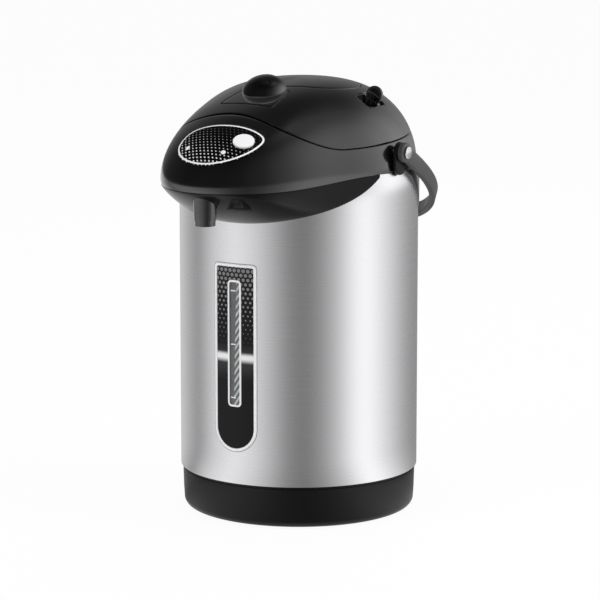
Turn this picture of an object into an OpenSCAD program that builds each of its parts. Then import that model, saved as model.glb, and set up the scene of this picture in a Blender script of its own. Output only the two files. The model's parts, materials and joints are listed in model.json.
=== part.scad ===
// Electric thermo pot. Millimetres, +Z up, the spout points along -Y.
// The origin is the centre of the footprint, on the surface the pot stands on.

/* [Body] */
// Outer radius of the steel body
body_r = 97.5; // [92:0.5:104]
// Wall of the steel body
body_wall = 0.8; // [0.6:0.1:1.2]
// Height of the steel body's lower edge
body_bottom_z = 35.4; // [34:0.2:38]
// Height of the steel body's upper edge
body_top_z = 284; // [274:1:294]

/* [Base] */
// How far the base ring is set in from the steel body
base_inset = 1.7; // [1.2:0.1:3]
// Radius of the rounding at the foot of the base ring
base_round = 7; // [4:0.5:9]
// Wall of the base ring
base_wall = 3; // [2:0.25:4]
// Height of the base ring above the ground
base_lift = 1.2; // [1:0.1:2]
// Thickness of the base plate
plate_t = 2.4; // [2:0.2:3]
// Radius of one rubber foot
foot_r = 8; // [6:0.5:10]
// Distance of a foot or a screw from the middle, along X and along Y
foot_pitch = 52; // [44:1:56]
// Distance of a base screw from the middle, along X and along Y
screw_pitch = 40; // [34:1:42]
// Radius of the base screws
base_screw_r = 1.75; // [1.5:0.05:2]
// Height of the chassis plate
chassis_z = 11; // [10:0.5:12]

/* [Pot] */
// Inner radius of the pot
pot_r = 88.5; // [84:0.5:89]
// Wall of the pot
pot_wall = 0.8; // [0.6:0.1:1]
// Height of the pot's floor
pot_floor_z = 37; // [36:0.5:40]
// Radius of the pot's lower corner
pot_corner_r = 24; // [20:1:28]
// Radius of the mouth that the lid closes
mouth_r = 80; // [74:1:82]
// Thickness of the mouth ring's deck
deck_t = 3; // [2:0.5:4]
// Radius of the heater plate
heater_r = 52; // [40:1:60]

/* [Pump] */
// Distance of the pump in front of the middle
pump_y = 58; // [54:1:60]
// Outer radius of the pump housing
pump_r = 17; // [15:0.5:19]
// Radius of the impeller
impeller_r = 12; // [10:0.5:13]
// Radius of the motor
motor_r = 13.8; // [11:0.2:15]
// Outer radius of the sight tube and the hoses
tube_r = 3.3; // [3:0.1:3.3]
// Bore radius of the sight tube and the hoses
tube_bore_r = 2.3; // [1.5:0.1:2.4]
// Distance of the sight tube in front of the middle
tube_y = 93; // [92.8:0.05:93.2]
// Lower end of the sight tube
tube_bottom_z = 60; // [58:0.5:62]
// Upper end of the sight tube
tube_top_z = 257; // [250:1:258]

/* [Gauge] */
// Width of the gauge frame
gauge_w = 39; // [34:0.5:44]
// Height of the gauge frame's round lower end
gauge_bottom_z = 62; // [58:1:70]
// Height of the gauge frame's upper edge
gauge_top_z = 214; // [190:1:225]
// Width of the frame's rim
gauge_rim = 2.4; // [1.5:0.1:3]
// How far the frame stands proud of the steel
gauge_proud = 0.9; // [0.5:0.1:1.5]
// Width of the clear window
window_w = 10.5; // [8:0.5:13]
// Lower edge of the window
window_bottom_z = 99.5; // [92:0.5:108]
// Upper edge of the window
window_top_z = 200; // [180:1:206]

/* [Head] */
// Plan radius of the head at its sides and rear
head_r = 97.2; // [94:0.2:102]
// Plan radius of the head at the tip of the beak
beak_reach = 152.5; // [148:0.5:160]
// Half of the angle over which the beak swells out of the round head
beak_spread = 84; // [70:1:95]
// How quickly the beak narrows, larger is slimmer
beak_taper = 2.36; // [1.8:0.02:3]
// Height of the widest level at the beak
belt_front_z = 281; // [278:0.5:284]
// Height of the widest level at the sides and rear
belt_side_z = 285; // [285:0.1:287]
// Height of the dome's top
dome_top_z = 354.3; // [346:0.5:360]
// Fullness of the dome over the beak
crown_front = 1.72; // [1.5:0.02:2.2]
// Fullness of the dome at the sides and rear
crown_side = 2.66; // [2.2:0.02:3]
// Steepness of the dome near its widest level
crown_rise = 1.93; // [1.7:0.01:2.2]
// Middle of the head's plan at its widest level, along Y
belt_y = -2.5; // [-4:0.1:-1]
// Middle of the head's plan at its top, along Y
top_y = 4.6; // [2:0.1:8]
// Wall of the collar and the lid
head_wall = 2.5; // [2:0.1:3]
// Height of the collar's lower edge under the beak
rim_front_z = 276.8; // [274:0.2:279]
// Height of the chin where it meets the steel in front
chin_z = 246.8; // [240:0.5:255]
// Angle from the front at which the chin ends
chin_end = 74; // [70:1:76]
// Wall of the beak's underside
tray_wall = 2.5; // [2:0.1:3]

/* [Lid] */
// Height of the lid's seam in front
seam_front_z = 333; // [330:0.5:337]
// Height of the lid's seam where it is lowest
seam_dip_z = 305.8; // [304:0.2:308]
// Height of the lid's seam at the rear
seam_rear_z = 311; // [309.5:0.5:313]
// Angle from the front at which the seam is lowest
seam_dip_at = 55; // [50:1:60]
// Gap of the seam between the lid and the collar
seam_gap = 0.6; // [0.4:0.1:1]
// Half of the push plate's length along X
plate_rx = 50; // [46:0.5:51]
// Half of the push plate's length along Y
plate_ry = 42; // [38:0.5:43]
// Middle of the push plate along Y
plate_y = 4; // [2:0.5:6]
// Travel of the push plate
plate_travel = 18; // [10:1:20]
// Gap around the push plate, the lever and the button
part_gap = 0.7; // [0.5:0.1:1]
// Outer radius of the bellows
bellows_r = 32; // [26:1:34]
// Number of folds of the bellows
bellows_folds = 7; // [5:1:8]
// Height of the lid liner's floor
liner_z = 270; // [268:1:274]
// Distance of the hinge pin behind the middle
hinge_y = 99; // [98:0.5:102]
// Height of the hinge pin
hinge_z = 306; // [304:0.5:307]
// Radius of the hinge pin
hinge_pin_r = 2; // [1.5:0.1:2.5]

/* [Lever, lock and button] */
// Front edge of the lid lever, in front of the middle
lever_front = 80; // [78:0.5:82]
// Rear edge of the lid lever, in front of the middle
lever_rear = 46; // [44:0.5:47]
// Half width of the lid lever at its front edge
lever_hw_front = 25; // [20:0.5:26]
// Half width of the lid lever at its rear edge
lever_hw_rear = 20; // [18:0.5:22]
// Radius of the half-dome on the lid lever
knob_r = 18.2; // [15:0.2:19]
// Distance of the lever's pin in front of the middle
lever_pin_y = 76; // [75:0.5:76.5]
// Radius of the lever's pin
lever_pin_r = 1.2; // [1:0.1:1.4]
// Depth of the lever's pin under the lid's surface
lever_pin_depth = 4.6; // [4.2:0.1:5]
// Distance of the lock lever from the push plate's middle
lock_reach = 66; // [65:0.5:67]
// Half length of the recess that holds the lock lever
well_hl = 13.5; // [13:0.5:14]
// Half width of the recess that holds the lock lever
well_hw = 7.6; // [7.4:0.1:8]
// Radius of the recess's corners
well_corner = 4; // [2.5:0.5:5]
// Height of the recess's floor
well_floor = 330; // [328:0.5:331]
// Angle that the lock lever turns through
lock_turn = 9; // [6:0.5:9]
// Radius of the lock lever's disc
lock_r = 7.3; // [6.5:0.1:7.6]
// Thickness of the lock lever's disc
lock_t = 3.5; // [2.5:0.25:4]
// Half width of the oval button
button_rx = 9.5; // [8:0.5:10]
// Half height of the oval button
button_ry = 7.4; // [6:0.2:8]
// Angle of the button from the front
button_a = 12; // [9:0.2:12.6]
// Height of the button's middle
button_z = 315.5; // [313:0.5:317]

/* [Handle] */
// Distance of the handle's pivots from the middle of the pot, along Y
pivot_y = -8; // [-12:0.5:-4]
// Height of the handle's pivots
pivot_z = 300; // [298:0.5:302]
// Half of the width between the two arms of the handle
handle_hw = 103.4; // [103:0.2:108]
// Length of the handle from its pivots to its grip
handle_l = 157; // [150:1:165]
// Slope of the resting handle below the horizontal
handle_tilt = 28; // [20:1:32]
// Width of the handle's strap
strap_w = 13; // [11:0.5:15]
// Thickness of the handle's strap
strap_t = 5; // [4:0.2:5.4]
// Radius of the handle's hubs
hub_r = 8; // [7:0.25:9]
// Radius of the handle's pivot screws
pivot_r = 3; // [2.5:0.1:3.5]

/* [Spout] */
// Distance of the nozzle in front of the middle
nozzle_y = 139; // [134:0.5:140]
// Outer radius of the nozzle
nozzle_r = 8.2; // [7:0.2:9]
// Height of the nozzle's mouth
nozzle_z = 249.7; // [246:0.5:253]

/* [Hidden] */
$fn = 96;
run = 0.05;        // radial clearance of a shaft in its bore
fit = 0.3;         // clearance between pieces that are assembled
face = 0.05;       // clearance between flat faces that rest on each other
eps = 0.01;

body_in_r = body_r - body_wall;
base_r = body_r - base_inset;
base_in_r = base_r - base_wall - 0.8;
plate_top_z = base_lift + 0.4 + plate_t;
chassis_t = 2.4;
deck_z = body_top_z - deck_t;
pot_rim_z = deck_z - 2.4;
seal_t = 1.6;
handle_color = [0.20, 0.20, 0.21];
gloss_black = [0.06, 0.06, 0.065];
satin_black = [0.09, 0.09, 0.095];
steel = [0.74, 0.74, 0.75];
grey_part = [0.55, 0.56, 0.58];

// ---- The head's surface: a is the angle from the front, u runs from the widest level (0) to the top (1)

function mix(p, q, k) = p + (q - p) * k;
function beak(a) = abs(a) < beak_spread ? pow(cos(90 * a / beak_spread), 2 * beak_taper) : 0;
function plan_r(a) = mix(head_r, beak_reach, beak(a));
function belt_z(a) = mix(belt_side_z, belt_front_z, beak(a));
function lift(u) = pow(sin(90 * u), 2 / crown_rise);
function draw_in(a, u) = pow(max(0, cos(90 * u)), 2 / mix(crown_side, crown_front, beak(a)));
function mid_y(u) = mix(belt_y, top_y, pow(lift(u), 1.5));
function head_pt(a, u, t = 0) =
    let (r = (plan_r(a) - t) * draw_in(a, u))
    [r * sin(a), mid_y(u) - r * cos(a), belt_z(a) + (dome_top_z - t - belt_z(a)) * lift(u)];
// The value of u at which the surface has height z
function u_at(a, z, t = 0) =
    asin(pow(max(0, z - belt_z(a)) / (dome_top_z - t - belt_z(a)), crown_rise / 2)) / 90;
// Height of the surface over a point of the plan, found by halving
function over(x, y, u) =
    let (dy = mid_y(u) - y, a = atan2(x, dy)) norm([x, dy]) - plan_r(a) * draw_in(a, u);
function find_u(x, y, lo, hi, n) =
    let (m = (lo + hi) / 2) n == 0 ? m : over(x, y, m) < 0 ? find_u(x, y, m, hi, n - 1) : find_u(x, y, lo, m, n - 1);
function head_z(x, y) =
    let (u = find_u(x, y, 0, 1, 22), a = atan2(x, mid_y(u) - y)) head_pt(a, u)[2];
function unit(v) = v / norm(v);
function head_normal(a, u) =
    unit(cross(head_pt(a + 0.5, u) - head_pt(a - 0.5, u), head_pt(a, u + 0.01) - head_pt(a, u - 0.01)));

function ramp(a, from, to) = pow(sin(90 * min(1, max(0, (abs(a) - from) / (to - from)))), 2);
function rim_z(a) = mix(rim_front_z, body_top_z + fit, ramp(a, 15, 80));
function seam_z(a) =
    abs(a) < seam_dip_at
        ? mix(seam_front_z, seam_dip_z, pow(sin(90 * abs(a) / seam_dip_at), 2.2))
        : mix(seam_dip_z, seam_rear_z, ramp(a, seam_dip_at, seam_dip_at + 70));
function chin_at(a) = chin_z + 0.0052 * a * a + 7 * pow(a / 75, 8);

// ---- Skins: solids from rings of points

// Triangles between n rings of m points; wrap joins the last ring to the first
function grid_faces(n, m, wrap) = [
    for (i = [0 : n - (wrap ? 1 : 2)], j = [0 : m - 1])
        let (p = i * m + j, q = i * m + (j + 1) % m, r = ((i + 1) % n) * m + j, s = ((i + 1) % n) * m + (j + 1) % m)
        each [[p, s, q], [p, r, s]]];

// A closed loop of rings, such as a shell that goes all the way round
module loop_skin(rings) {
    polyhedron([for (r = rings) each r],
               [for (f = grid_faces(len(rings), len(rings[0]), true)) [f[0], f[2], f[1]]], convexity = 8);
}

// A stack of rings, closed at both ends by fans to each ring's middle
module capped_skin(rings) {
    n = len(rings);
    m = len(rings[0]);
    low = [for (i = [0 : 2]) [for (p = rings[0]) p[i]] * [for (p = rings[0]) 1 / m]];
    high = [for (i = [0 : 2]) [for (p = rings[n - 1]) p[i]] * [for (p = rings[0]) 1 / m]];
    polyhedron(
        [for (r = rings) each r, low, high],
        [each grid_faces(n, m, false),
         for (j = [0 : m - 1]) [n * m, j, (j + 1) % m],
         for (j = [0 : m - 1]) [n * m + 1, (n - 1) * m + (j + 1) % m, (n - 1) * m + j]],
        convexity = 8);
}

// Thin strips whose cross-section ring is an outer row followed by the inner row in reverse
module strip_skin(rings) {
    n = len(rings);
    m = len(rings[0]);
    h = m / 2;
    polyhedron(
        [for (r = rings) each r],
        [each grid_faces(n, m, false),
         for (j = [0 : h - 2]) each [[j, j + 1, m - 1 - j], [j + 1, m - 2 - j, m - 1 - j]],
         for (j = [0 : h - 2]) let (b = (n - 1) * m)
             each [[b + j, b + m - 1 - j, b + j + 1], [b + j + 1, b + m - 1 - j, b + m - 2 - j]]],
        convexity = 8);
}

// Points along arcs of a route in the plane X = 0: each stop is [y, z]
function smooth(p, n) = n == 0 ? p : smooth([
    p[0],
    for (i = [0 : len(p) - 2]) each [mix(p[i], p[i + 1], 0.25), mix(p[i], p[i + 1], 0.75)],
    p[len(p) - 1]], n - 1);

// A hose with a bore along a route in the plane X = 0
module hose(stops, sides) {
    p = smooth(stops, 2);
    n = len(p);
    function along(i) = unit(p[min(i + 1, n - 1)] - p[max(i - 1, 0)]);
    function ring(i, r) = [for (k = [0 : sides - 1])
        let (t = along(i), w = 360 * k / sides)
        [r * cos(w), p[i][0] - r * sin(w) * t[1], p[i][1] + r * sin(w) * t[0]]];
    loop_skin([for (i = [0 : n - 1]) ring(i, tube_r), for (i = [n - 1 : -1 : 0]) ring(i, tube_bore_r)]);
}

module tube(r_out, r_in, z0, z1) {
    translate([0, 0, z0])
        difference() {
            cylinder(r = r_out, h = z1 - z0);
            translate([0, 0, -1]) cylinder(r = r_in, h = z1 - z0 + 2);
        }
}

module at_corners(d) {
    for (x = [-d, d], y = [-d, d]) translate([x, y, 0]) children();
}

// ---- Base

base_ring_outline = let (r = base_round, b = base_lift) [
    [base_in_r - 6, b],
    for (w = [0 : 10 : 90]) [base_r - 1 - r + r * sin(w), b + r - r * cos(w)],
    [base_r, body_bottom_z - 0.2],
    [body_in_r - 0.2, body_bottom_z + 1.2],
    [body_in_r - 0.2, body_bottom_z + 8],
    [body_in_r - 2.7, body_bottom_z + 8],
    [base_in_r + 1, body_bottom_z - 0.4],
    [base_in_r, plate_top_z + 1],
    [base_in_r, plate_top_z - plate_t / 2 + 0.6],
    [base_in_r - 6, plate_top_z - plate_t / 2 + 0.6]];

inlet_hw = 12;
inlet_z0 = 15;
inlet_h = 14;
inlet_depth = 17;
inlet_y = base_r - 2.2;

module inlet_block(grow, from_y, to_y) {
    translate([-inlet_hw - grow, from_y, inlet_z0 - grow])
        cube([2 * (inlet_hw + grow), to_y - from_y, inlet_h + 2 * grow]);
}

module base_ring() {
    color(satin_black)
        difference() {
            rotate_extrude($fn = 160) polygon(base_ring_outline);
            inlet_block(fit, 80, 110);
        }
}

module base_plate() {
    color(satin_black)
        difference() {
            translate([0, 0, plate_top_z - plate_t]) cylinder(r = base_in_r - 6 - fit, h = plate_t);
            at_corners(screw_pitch) translate([0, 0, -1]) cylinder(r = base_screw_r + 0.4, h = 12, $fn = 32);
            for (x = [-24 : 8 : 24])
                translate([x - 1.5, 16, -1]) cube([3, 24, 12]);
        }
}

module base_feet() {
    color([0.12, 0.12, 0.12]) {
        at_corners(foot_pitch) cylinder(r = foot_r, h = plate_top_z - plate_t, $fn = 48);
        cylinder(r = foot_r, h = plate_top_z - plate_t, $fn = 48);
    }
}

module base_screws() {
    color(steel)
        at_corners(screw_pitch) {
            translate([0, 0, 0.4])
                difference() {
                    cylinder(r = 3.8, h = plate_top_z - plate_t - 0.4, $fn = 48);
                    translate([-3, -0.5, -eps]) cube([6, 1, 0.6]);
                    translate([-0.5, -3, -eps]) cube([1, 6, 0.6]);
                }
            translate([0, 0, plate_top_z - plate_t - eps])
                cylinder(r = base_screw_r, h = chassis_z, $fn = 48);
        }
}

module chassis() {
    boss_bottom = plate_top_z + face;
    color(grey_part)
        difference() {
            union() {
                translate([0, 0, chassis_z]) cylinder(r = base_in_r - fit, h = chassis_t);
                at_corners(screw_pitch)
                    translate([0, 0, boss_bottom]) cylinder(r = 5, h = chassis_z - boss_bottom + eps, $fn = 48);
                at_corners((heater_r - 10) * cos(45))
                    translate([0, 0, chassis_z]) cylinder(r = 4, h = heater_z - face - chassis_z, $fn = 48);
            }
            at_corners(screw_pitch)
                translate([0, 0, boss_bottom - 1]) cylinder(r = base_screw_r + run, h = 13, $fn = 48);
            translate([0, -pump_y, 0]) cylinder(r = motor_r + fit, h = 40);
            translate([-inlet_hw - 2, inlet_y - inlet_depth - 1, 0]) cube([2 * inlet_hw + 4, 40, 40]);
        }
}

module power_inlet() {
    color(satin_black)
        difference() {
            intersection() {
                inlet_block(0, inlet_y - inlet_depth, 110);
                cylinder(r = base_r - 0.2, h = 60);
            }
            translate([-inlet_hw + 2, inlet_y - inlet_depth + 3, inlet_z0 + 2])
                cube([2 * inlet_hw - 4, 40, inlet_h - 4]);
            for (x = [-6, 0, 6])
                translate([x, inlet_y - inlet_depth - 1, inlet_z0 + inlet_h / 2])
                    rotate([-90, 0, 0]) cylinder(r = 1.2 + run, h = 6, $fn = 32);
        }
}

module inlet_pins() {
    color(steel)
        for (x = [-6, 0, 6])
            translate([x, inlet_y - inlet_depth - 5, inlet_z0 + inlet_h / 2])
                rotate([-90, 0, 0]) cylinder(r = 1.2, h = inlet_depth - 3, $fn = 32);
}

board_z = chassis_z + chassis_t + 4;
board_y = 36;
heater_h = 3.6;
heater_z = pot_floor_z - pot_wall - face - heater_h;

module control_board() {
    color([0.12, 0.35, 0.2])
        difference() {
            union() {
                translate([-42, board_y, board_z]) cube([84, 34, 1.6]);
                for (x = [-30, 30], y = [board_y + 4, board_y + 30])
                    translate([x, y, chassis_z + chassis_t + face]) cylinder(r = 2.5, h = 4.2, $fn = 32);
            }
            for (x = [-30, 30], y = [board_y + 4, board_y + 30])
                translate([x, y, chassis_z + chassis_t - 1]) cylinder(r = 1.2, h = 12, $fn = 32);
        }
}

module board_parts() {
    z = board_z + 1.6 + face;
    color([0.15, 0.15, 0.17]) {
        translate([-24, board_y + 14, z]) cube([19, 15, 9]);
        translate([4, board_y + 16, z]) cube([14, 12, 8]);
        translate([-4, board_y + 7, z]) cylinder(r = 4, h = 9, $fn = 32);
        translate([8, board_y + 7, z]) cylinder(r = 4, h = 9, $fn = 32);
        translate([-23, board_y + 3, z]) cube([12, 8, 2]);
        translate([33, board_y + 12, z]) cube([8, 10, 6]);
    }
}

// ---- Pump

housing_z0 = chassis_z + chassis_t + 6.6;
housing_h = 9.5;
outlet_z = housing_z0 + 5;

module pump_motor() {
    top = housing_z0 - face;
    color(grey_part)
        translate([0, -pump_y, 0])
            difference() {
                union() {
                    translate([0, 0, plate_top_z + 1.2]) cylinder(r = motor_r, h = top - plate_top_z - 1.2);
                    translate([0, 0, chassis_z + chassis_t + face]) cylinder(r = motor_r + 4, h = 2);
                }
                translate([0, 0, top - 8]) cylinder(r = 1.5 + run, h = 10, $fn = 32);
            }
}

module pump_housing() {
    color([0.85, 0.85, 0.83])
        translate([0, -pump_y, 0])
            difference() {
                union() {
                    translate([0, 0, housing_z0]) cylinder(r = pump_r, h = housing_h);
                    translate([0, 0, housing_z0]) cylinder(r = 5.5, h = pot_floor_z - pot_wall - face - housing_z0);
                    translate([0, -8, outlet_z]) rotate([90, 0, 0]) cylinder(r = tube_r, h = pump_r - 6, $fn = 48);
                }
                translate([0, 0, housing_z0 + 1.4]) cylinder(r = impeller_r + 1.6, h = housing_h - 2.6);
                translate([0, 0, housing_z0 + 2]) cylinder(r = 3.6, h = 40, $fn = 48);
                translate([0, 0, housing_z0 - 1]) cylinder(r = 1.5 + 0.3, h = 4, $fn = 32);
                translate([0, -8, outlet_z]) rotate([90, 0, 0]) cylinder(r = tube_bore_r, h = 40, $fn = 48);
            }
}

module pump_impeller() {
    z = housing_z0 + 1.9;
    color([0.2, 0.25, 0.3])
        translate([0, -pump_y, 0]) {
            translate([0, 0, housing_z0 - 7]) cylinder(r = 1.5, h = 10, $fn = 48);
            translate([0, 0, z]) cylinder(r = impeller_r, h = 1.6);
            for (w = [0 : 60 : 300])
                rotate([0, 0, w]) translate([3.9, -0.6, z + 1.5]) cube([impeller_r - 5, 1.2, 3.4]);
            translate([0, 0, z + 1.5]) cylinder(r = 2.6, h = 3, $fn = 48);
        }
}

module heater_plate() {
    color([0.68, 0.66, 0.62])
        difference() {
            union() {
                translate([0, 0, heater_z + heater_h - 1.4]) cylinder(r = heater_r, h = 1.4);
                translate([0, 0, heater_z])
                    difference() {
                        cylinder(r = heater_r - 5, h = heater_h);
                        translate([0, 0, -1]) cylinder(r = heater_r - 15, h = heater_h + 2);
                    }
            }
            translate([0, -pump_y, 0]) cylinder(r = pump_r + 1, h = 60);
            cylinder(r = 9, h = 60);
        }
}

module thermostat() {
    color([0.75, 0.72, 0.68]) {
        translate([0, 0, pot_floor_z - pot_wall - face - 7]) cylinder(r = 8, h = 7);
        for (x = [-5, 5])
            translate([x - 1.5, -0.4, pot_floor_z - pot_wall - face - 12]) cube([3, 0.8, 6]);
    }
}

module thermal_fuse() {
    r = 2.2;
    color([0.85, 0.8, 0.7])
        translate([20, 0, pot_floor_z - pot_wall - 1.4 - face - r - 0.1]) {
            rotate([90, 0, 0]) translate([0, 0, -7]) cylinder(r = r, h = 14, $fn = 32);
            for (y = [-7, 3.5]) translate([-r - 1, y, -0.9]) cube([2 * r + 2, 3.5, r + 0.9]);
        }
}

module inner_pot() {
    zc = pot_floor_z + pot_corner_r;
    color(steel)
        difference() {
            rotate_extrude($fn = 160)
                polygon([
                    [0, pot_floor_z - pot_wall],
                    for (w = [0 : 7.5 : 90]) [
                        pot_r - pot_corner_r + (pot_corner_r + pot_wall) * sin(w),
                        zc - (pot_corner_r + pot_wall) * cos(w)],
                    [pot_r + pot_wall, pot_rim_z],
                    [pot_r, pot_rim_z],
                    for (w = [90 : -7.5 : 0]) [
                        pot_r - pot_corner_r + pot_corner_r * sin(w), zc - pot_corner_r * cos(w)],
                    [0, pot_floor_z]]);
            translate([0, -pump_y, 0]) cylinder(r = 3.6, h = 60, $fn = 48);
        }
}

module lower_hose() {
    color([0.9, 0.9, 0.88])
        hose([[-pump_y - pump_r - 2 - face, outlet_z], [-pump_y - pump_r - 8, outlet_z], [-86, outlet_z + 1],
              [-87.6, outlet_z + 9], [-88.2, 40], [-tube_y + 1.5, 50], [-tube_y, 54],
              [-tube_y, tube_bottom_z - face]], 12);
}

module sight_tube() {
    color([0.85, 0.92, 0.95, 0.5])
        translate([0, -tube_y, 0]) tube(tube_r, tube_bore_r, tube_bottom_z, tube_top_z);
}

nozzle_top = rim_front_z + 2.7;

module upper_hose() {
    color([0.9, 0.9, 0.88])
        hose([[-tube_y, tube_top_z + face], [-tube_y, tube_top_z + 4], [-99, 267], [-110, 271], [-124, 281],
              [-134, 290], [-nozzle_y, 289], [-nozzle_y, nozzle_top + 4], [-nozzle_y, nozzle_top + face]], 12);
}

// ---- Body

// Outline of the gauge, drawn in by inset
module gauge_outline(inset) {
    w = gauge_w / 2 - inset;
    c = 3.5 - inset / 2;
    top = gauge_top_z - inset;
    mid = gauge_bottom_z + gauge_w / 2;
    translate([0, mid]) circle(r = w);
    translate([-w, mid]) square([2 * w, top - c - mid]);
    translate([-w + c, mid]) square([2 * (w - c), top - mid]);
    for (x = [-1, 1]) translate([x * (w - c), top - c]) circle(r = c, $fn = 32);
}

module window_outline(inset) {
    w = window_w / 2 - inset;
    c = 2.5 - inset;
    translate([-w + c, window_bottom_z + inset])
        square([2 * (w - c), window_top_z - window_bottom_z - 2 * inset]);
    translate([-w, window_bottom_z + inset + c])
        square([2 * w, window_top_z - window_bottom_z - 2 * (inset + c)]);
    for (x = [-1, 1], z = [window_bottom_z + inset + c, window_top_z - inset - c])
        translate([x * (w - c), z]) circle(r = c, $fn = 32);
}

// The part of an upright tube wall that lies behind an outline, seen from the front
module wrapped(r_out, r_in) {
    intersection() {
        tube(r_out, r_in, gauge_bottom_z - 10, gauge_top_z + 10);
        rotate([90, 0, 0]) linear_extrude(body_r + 10) children();
    }
}

module steel_body() {
    color(steel)
        difference() {
            tube(body_r, body_in_r, body_bottom_z, body_top_z, $fn = 200);
            rotate([90, 0, 0]) linear_extrude(body_r + 10) gauge_outline(1.3);
            translate([-8, -body_r - 5, tube_top_z - 4]) cube([16, 12, 60]);
        }
}

module gauge_frame() {
    color([0.88, 0.88, 0.88]) {
        wrapped(body_r + gauge_proud, body_r + face)
            difference() {
                gauge_outline(0);
                gauge_outline(gauge_rim);
            }
        wrapped(body_r + face + eps, body_in_r)
            difference() {
                gauge_outline(1.4);
                gauge_outline(gauge_rim);
            }
    }
}

module gauge_panel() {
    color([0.03, 0.03, 0.03])
        wrapped(body_r + 0.3, body_in_r - 0.2)
            difference() {
                gauge_outline(gauge_rim + 0.05);
                window_outline(0);
            }
}

module gauge_window() {
    color([0.8, 0.82, 0.84, 0.4])
        wrapped(body_r + 0.5, body_in_r - 0.2) window_outline(0.05);
}

module mouth_ring() {
    color(satin_black)
        difference() {
            rotate_extrude($fn = 160)
                polygon([
                    [mouth_r, deck_z - 13], [mouth_r + 2.5, deck_z - 13], [mouth_r + 2.5, deck_z],
                    [body_in_r - 3, deck_z], [body_in_r - 3, deck_z - 9], [body_in_r - fit, deck_z - 9],
                    [body_in_r - fit, body_top_z], [mouth_r, body_top_z]]);
        }
}

module pot_seal() {
    color([0.75, 0.75, 0.72])
        tube(pot_r + 3, mouth_r + 3, pot_rim_z + face, deck_z - face);
}

// ---- Head

around = [for (a = [-180 : 3.75 : 176.25]) a];

function collar_row(a, k, t) =
    let (n = 9, z1 = seam_z(a) - seam_gap / 2)
    k == 0 ? collar_foot(a, t, rim_z(a), 0) : head_pt(a, u_at(a, z1, t) * (k - 1) / (n - 1), t);

// Distance of the steel's outer face from the middle of the head's plan
function steel_at(a) = belt_y * cos(a) + sqrt(pow(body_r + 3 * face, 2) - pow(belt_y * sin(a), 2));
// A point of the collar's lower edge, which steps round the steel's upper edge where it reaches below it
function collar_foot(a, t, z, over) =
    let (r0 = plan_r(a) - t - 1.2 * beak(a),
         r = over || rim_z(a) > body_top_z + face ? r0 : max(r0, min(steel_at(a), plan_r(a) - 0.3)))
    [r * sin(a), belt_y - r * cos(a), z];
function collar_step_z(a) = max(rim_z(a) + face, min(body_top_z + 2 * face, mix(rim_z(a), belt_z(a), 0.75)));

// Places its children on the head's surface, with +Z along the outward normal and +X to the right
module on_head(a, z) {
    u = u_at(a, z);
    p = head_pt(a, u);
    n = head_normal(a, u);
    side = unit(cross([0, 0, 1], n));
    up = cross(n, side);
    multmatrix([[side[0], up[0], n[0], p[0]], [side[1], up[1], n[1], p[1]], [side[2], up[2], n[2], p[2]],
                [0, 0, 0, 1]])
        children();
}

module oval(rx, ry) {
    polygon([for (w = [0 : 7.5 : 352.5]) [rx * cos(w), ry * sin(w)]]);
}

module button_hole() {
    on_head(button_a, button_z)
        translate([0, 0, -12]) linear_extrude(20) oval(button_rx + part_gap, button_ry + part_gap);
}

module pivot_bores() {
    translate([-130, pivot_y, pivot_z]) rotate([0, 90, 0]) cylinder(r = pivot_r + run, h = 260, $fn = 64);
}

module collar() {
    color(gloss_black)
        difference() {
            loop_skin([for (a = around)
                [for (k = [0 : 9]) collar_row(a, k, 0), for (k = [9 : -1 : 1]) collar_row(a, k, head_wall),
                 collar_foot(a, head_wall, collar_step_z(a) + 0.1, 1), collar_foot(a, head_wall, collar_step_z(a), 0),
                 collar_row(a, 0, head_wall)]]);
            button_hole();
            pivot_bores();
            translate([-hinge_hw - fit, 60, body_top_z - 10]) cube([2 * (hinge_hw + fit), 60, 60]);
        }
}

// Underside of the beak, from the collar's lower edge to the chin on the steel
function tray_pt(a, v, wall) =
    let (e = 2 / mix(1.4, 1.15, beak(a)),
         rim_r = plan_r(a) - 1.2 * beak(a),
         r1 = belt_y * cos(a) + sqrt(pow(body_r + 2 * face, 2) - pow(belt_y * sin(a), 2)),
         t = min(wall, 0.55 * max(0.2, rim_r - r1)),   // thins out where the beak meets the steel
         z0 = rim_z(a) - face, z1 = min(chin_at(a), rim_z(a) - 0.8) + t * 0.9,
         f = 1 - pow(max(0, cos(90 * v)), e), g = pow(sin(90 * v), e), r = mix(rim_r - t, r1, f))
    [r * sin(a), belt_y - r * cos(a), mix(z0, z1, g)];

module beak_tray() {
    n = 9;
    color(gloss_black)
        difference() {
            strip_skin([for (a = [-chin_end : chin_end / 20 : chin_end])
                [for (k = [0 : n]) tray_pt(a, k / n, 0), for (k = [n : -1 : 0]) tray_pt(a, k / n, tray_wall)]]);
            translate([0, -nozzle_y, nozzle_z]) cylinder(r = nozzle_r + 0.3, h = 40, $fn = 64);
        }
}

module nozzle() {
    color(gloss_black)
        translate([0, -nozzle_y, 0])
            rotate_extrude($fn = 64)
                polygon([
                    [nozzle_r - 2.2, nozzle_z], [nozzle_r, nozzle_z],
                    [nozzle_r, nozzle_top - 2], [nozzle_r + 4, nozzle_top - 2], [nozzle_r + 4, nozzle_top],
                    [tube_bore_r, nozzle_top], [tube_bore_r, nozzle_z + 16], [nozzle_r - 2.2, nozzle_z + 13]]);
}

// Black skirt on the rear of the steel body; w is the angle from the rear
skirt_low_z = 236;
skirt_half = 86;
function skirt_z(w) = mix(skirt_low_z, body_top_z, pow(abs(w) / skirt_half, 3));

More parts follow.
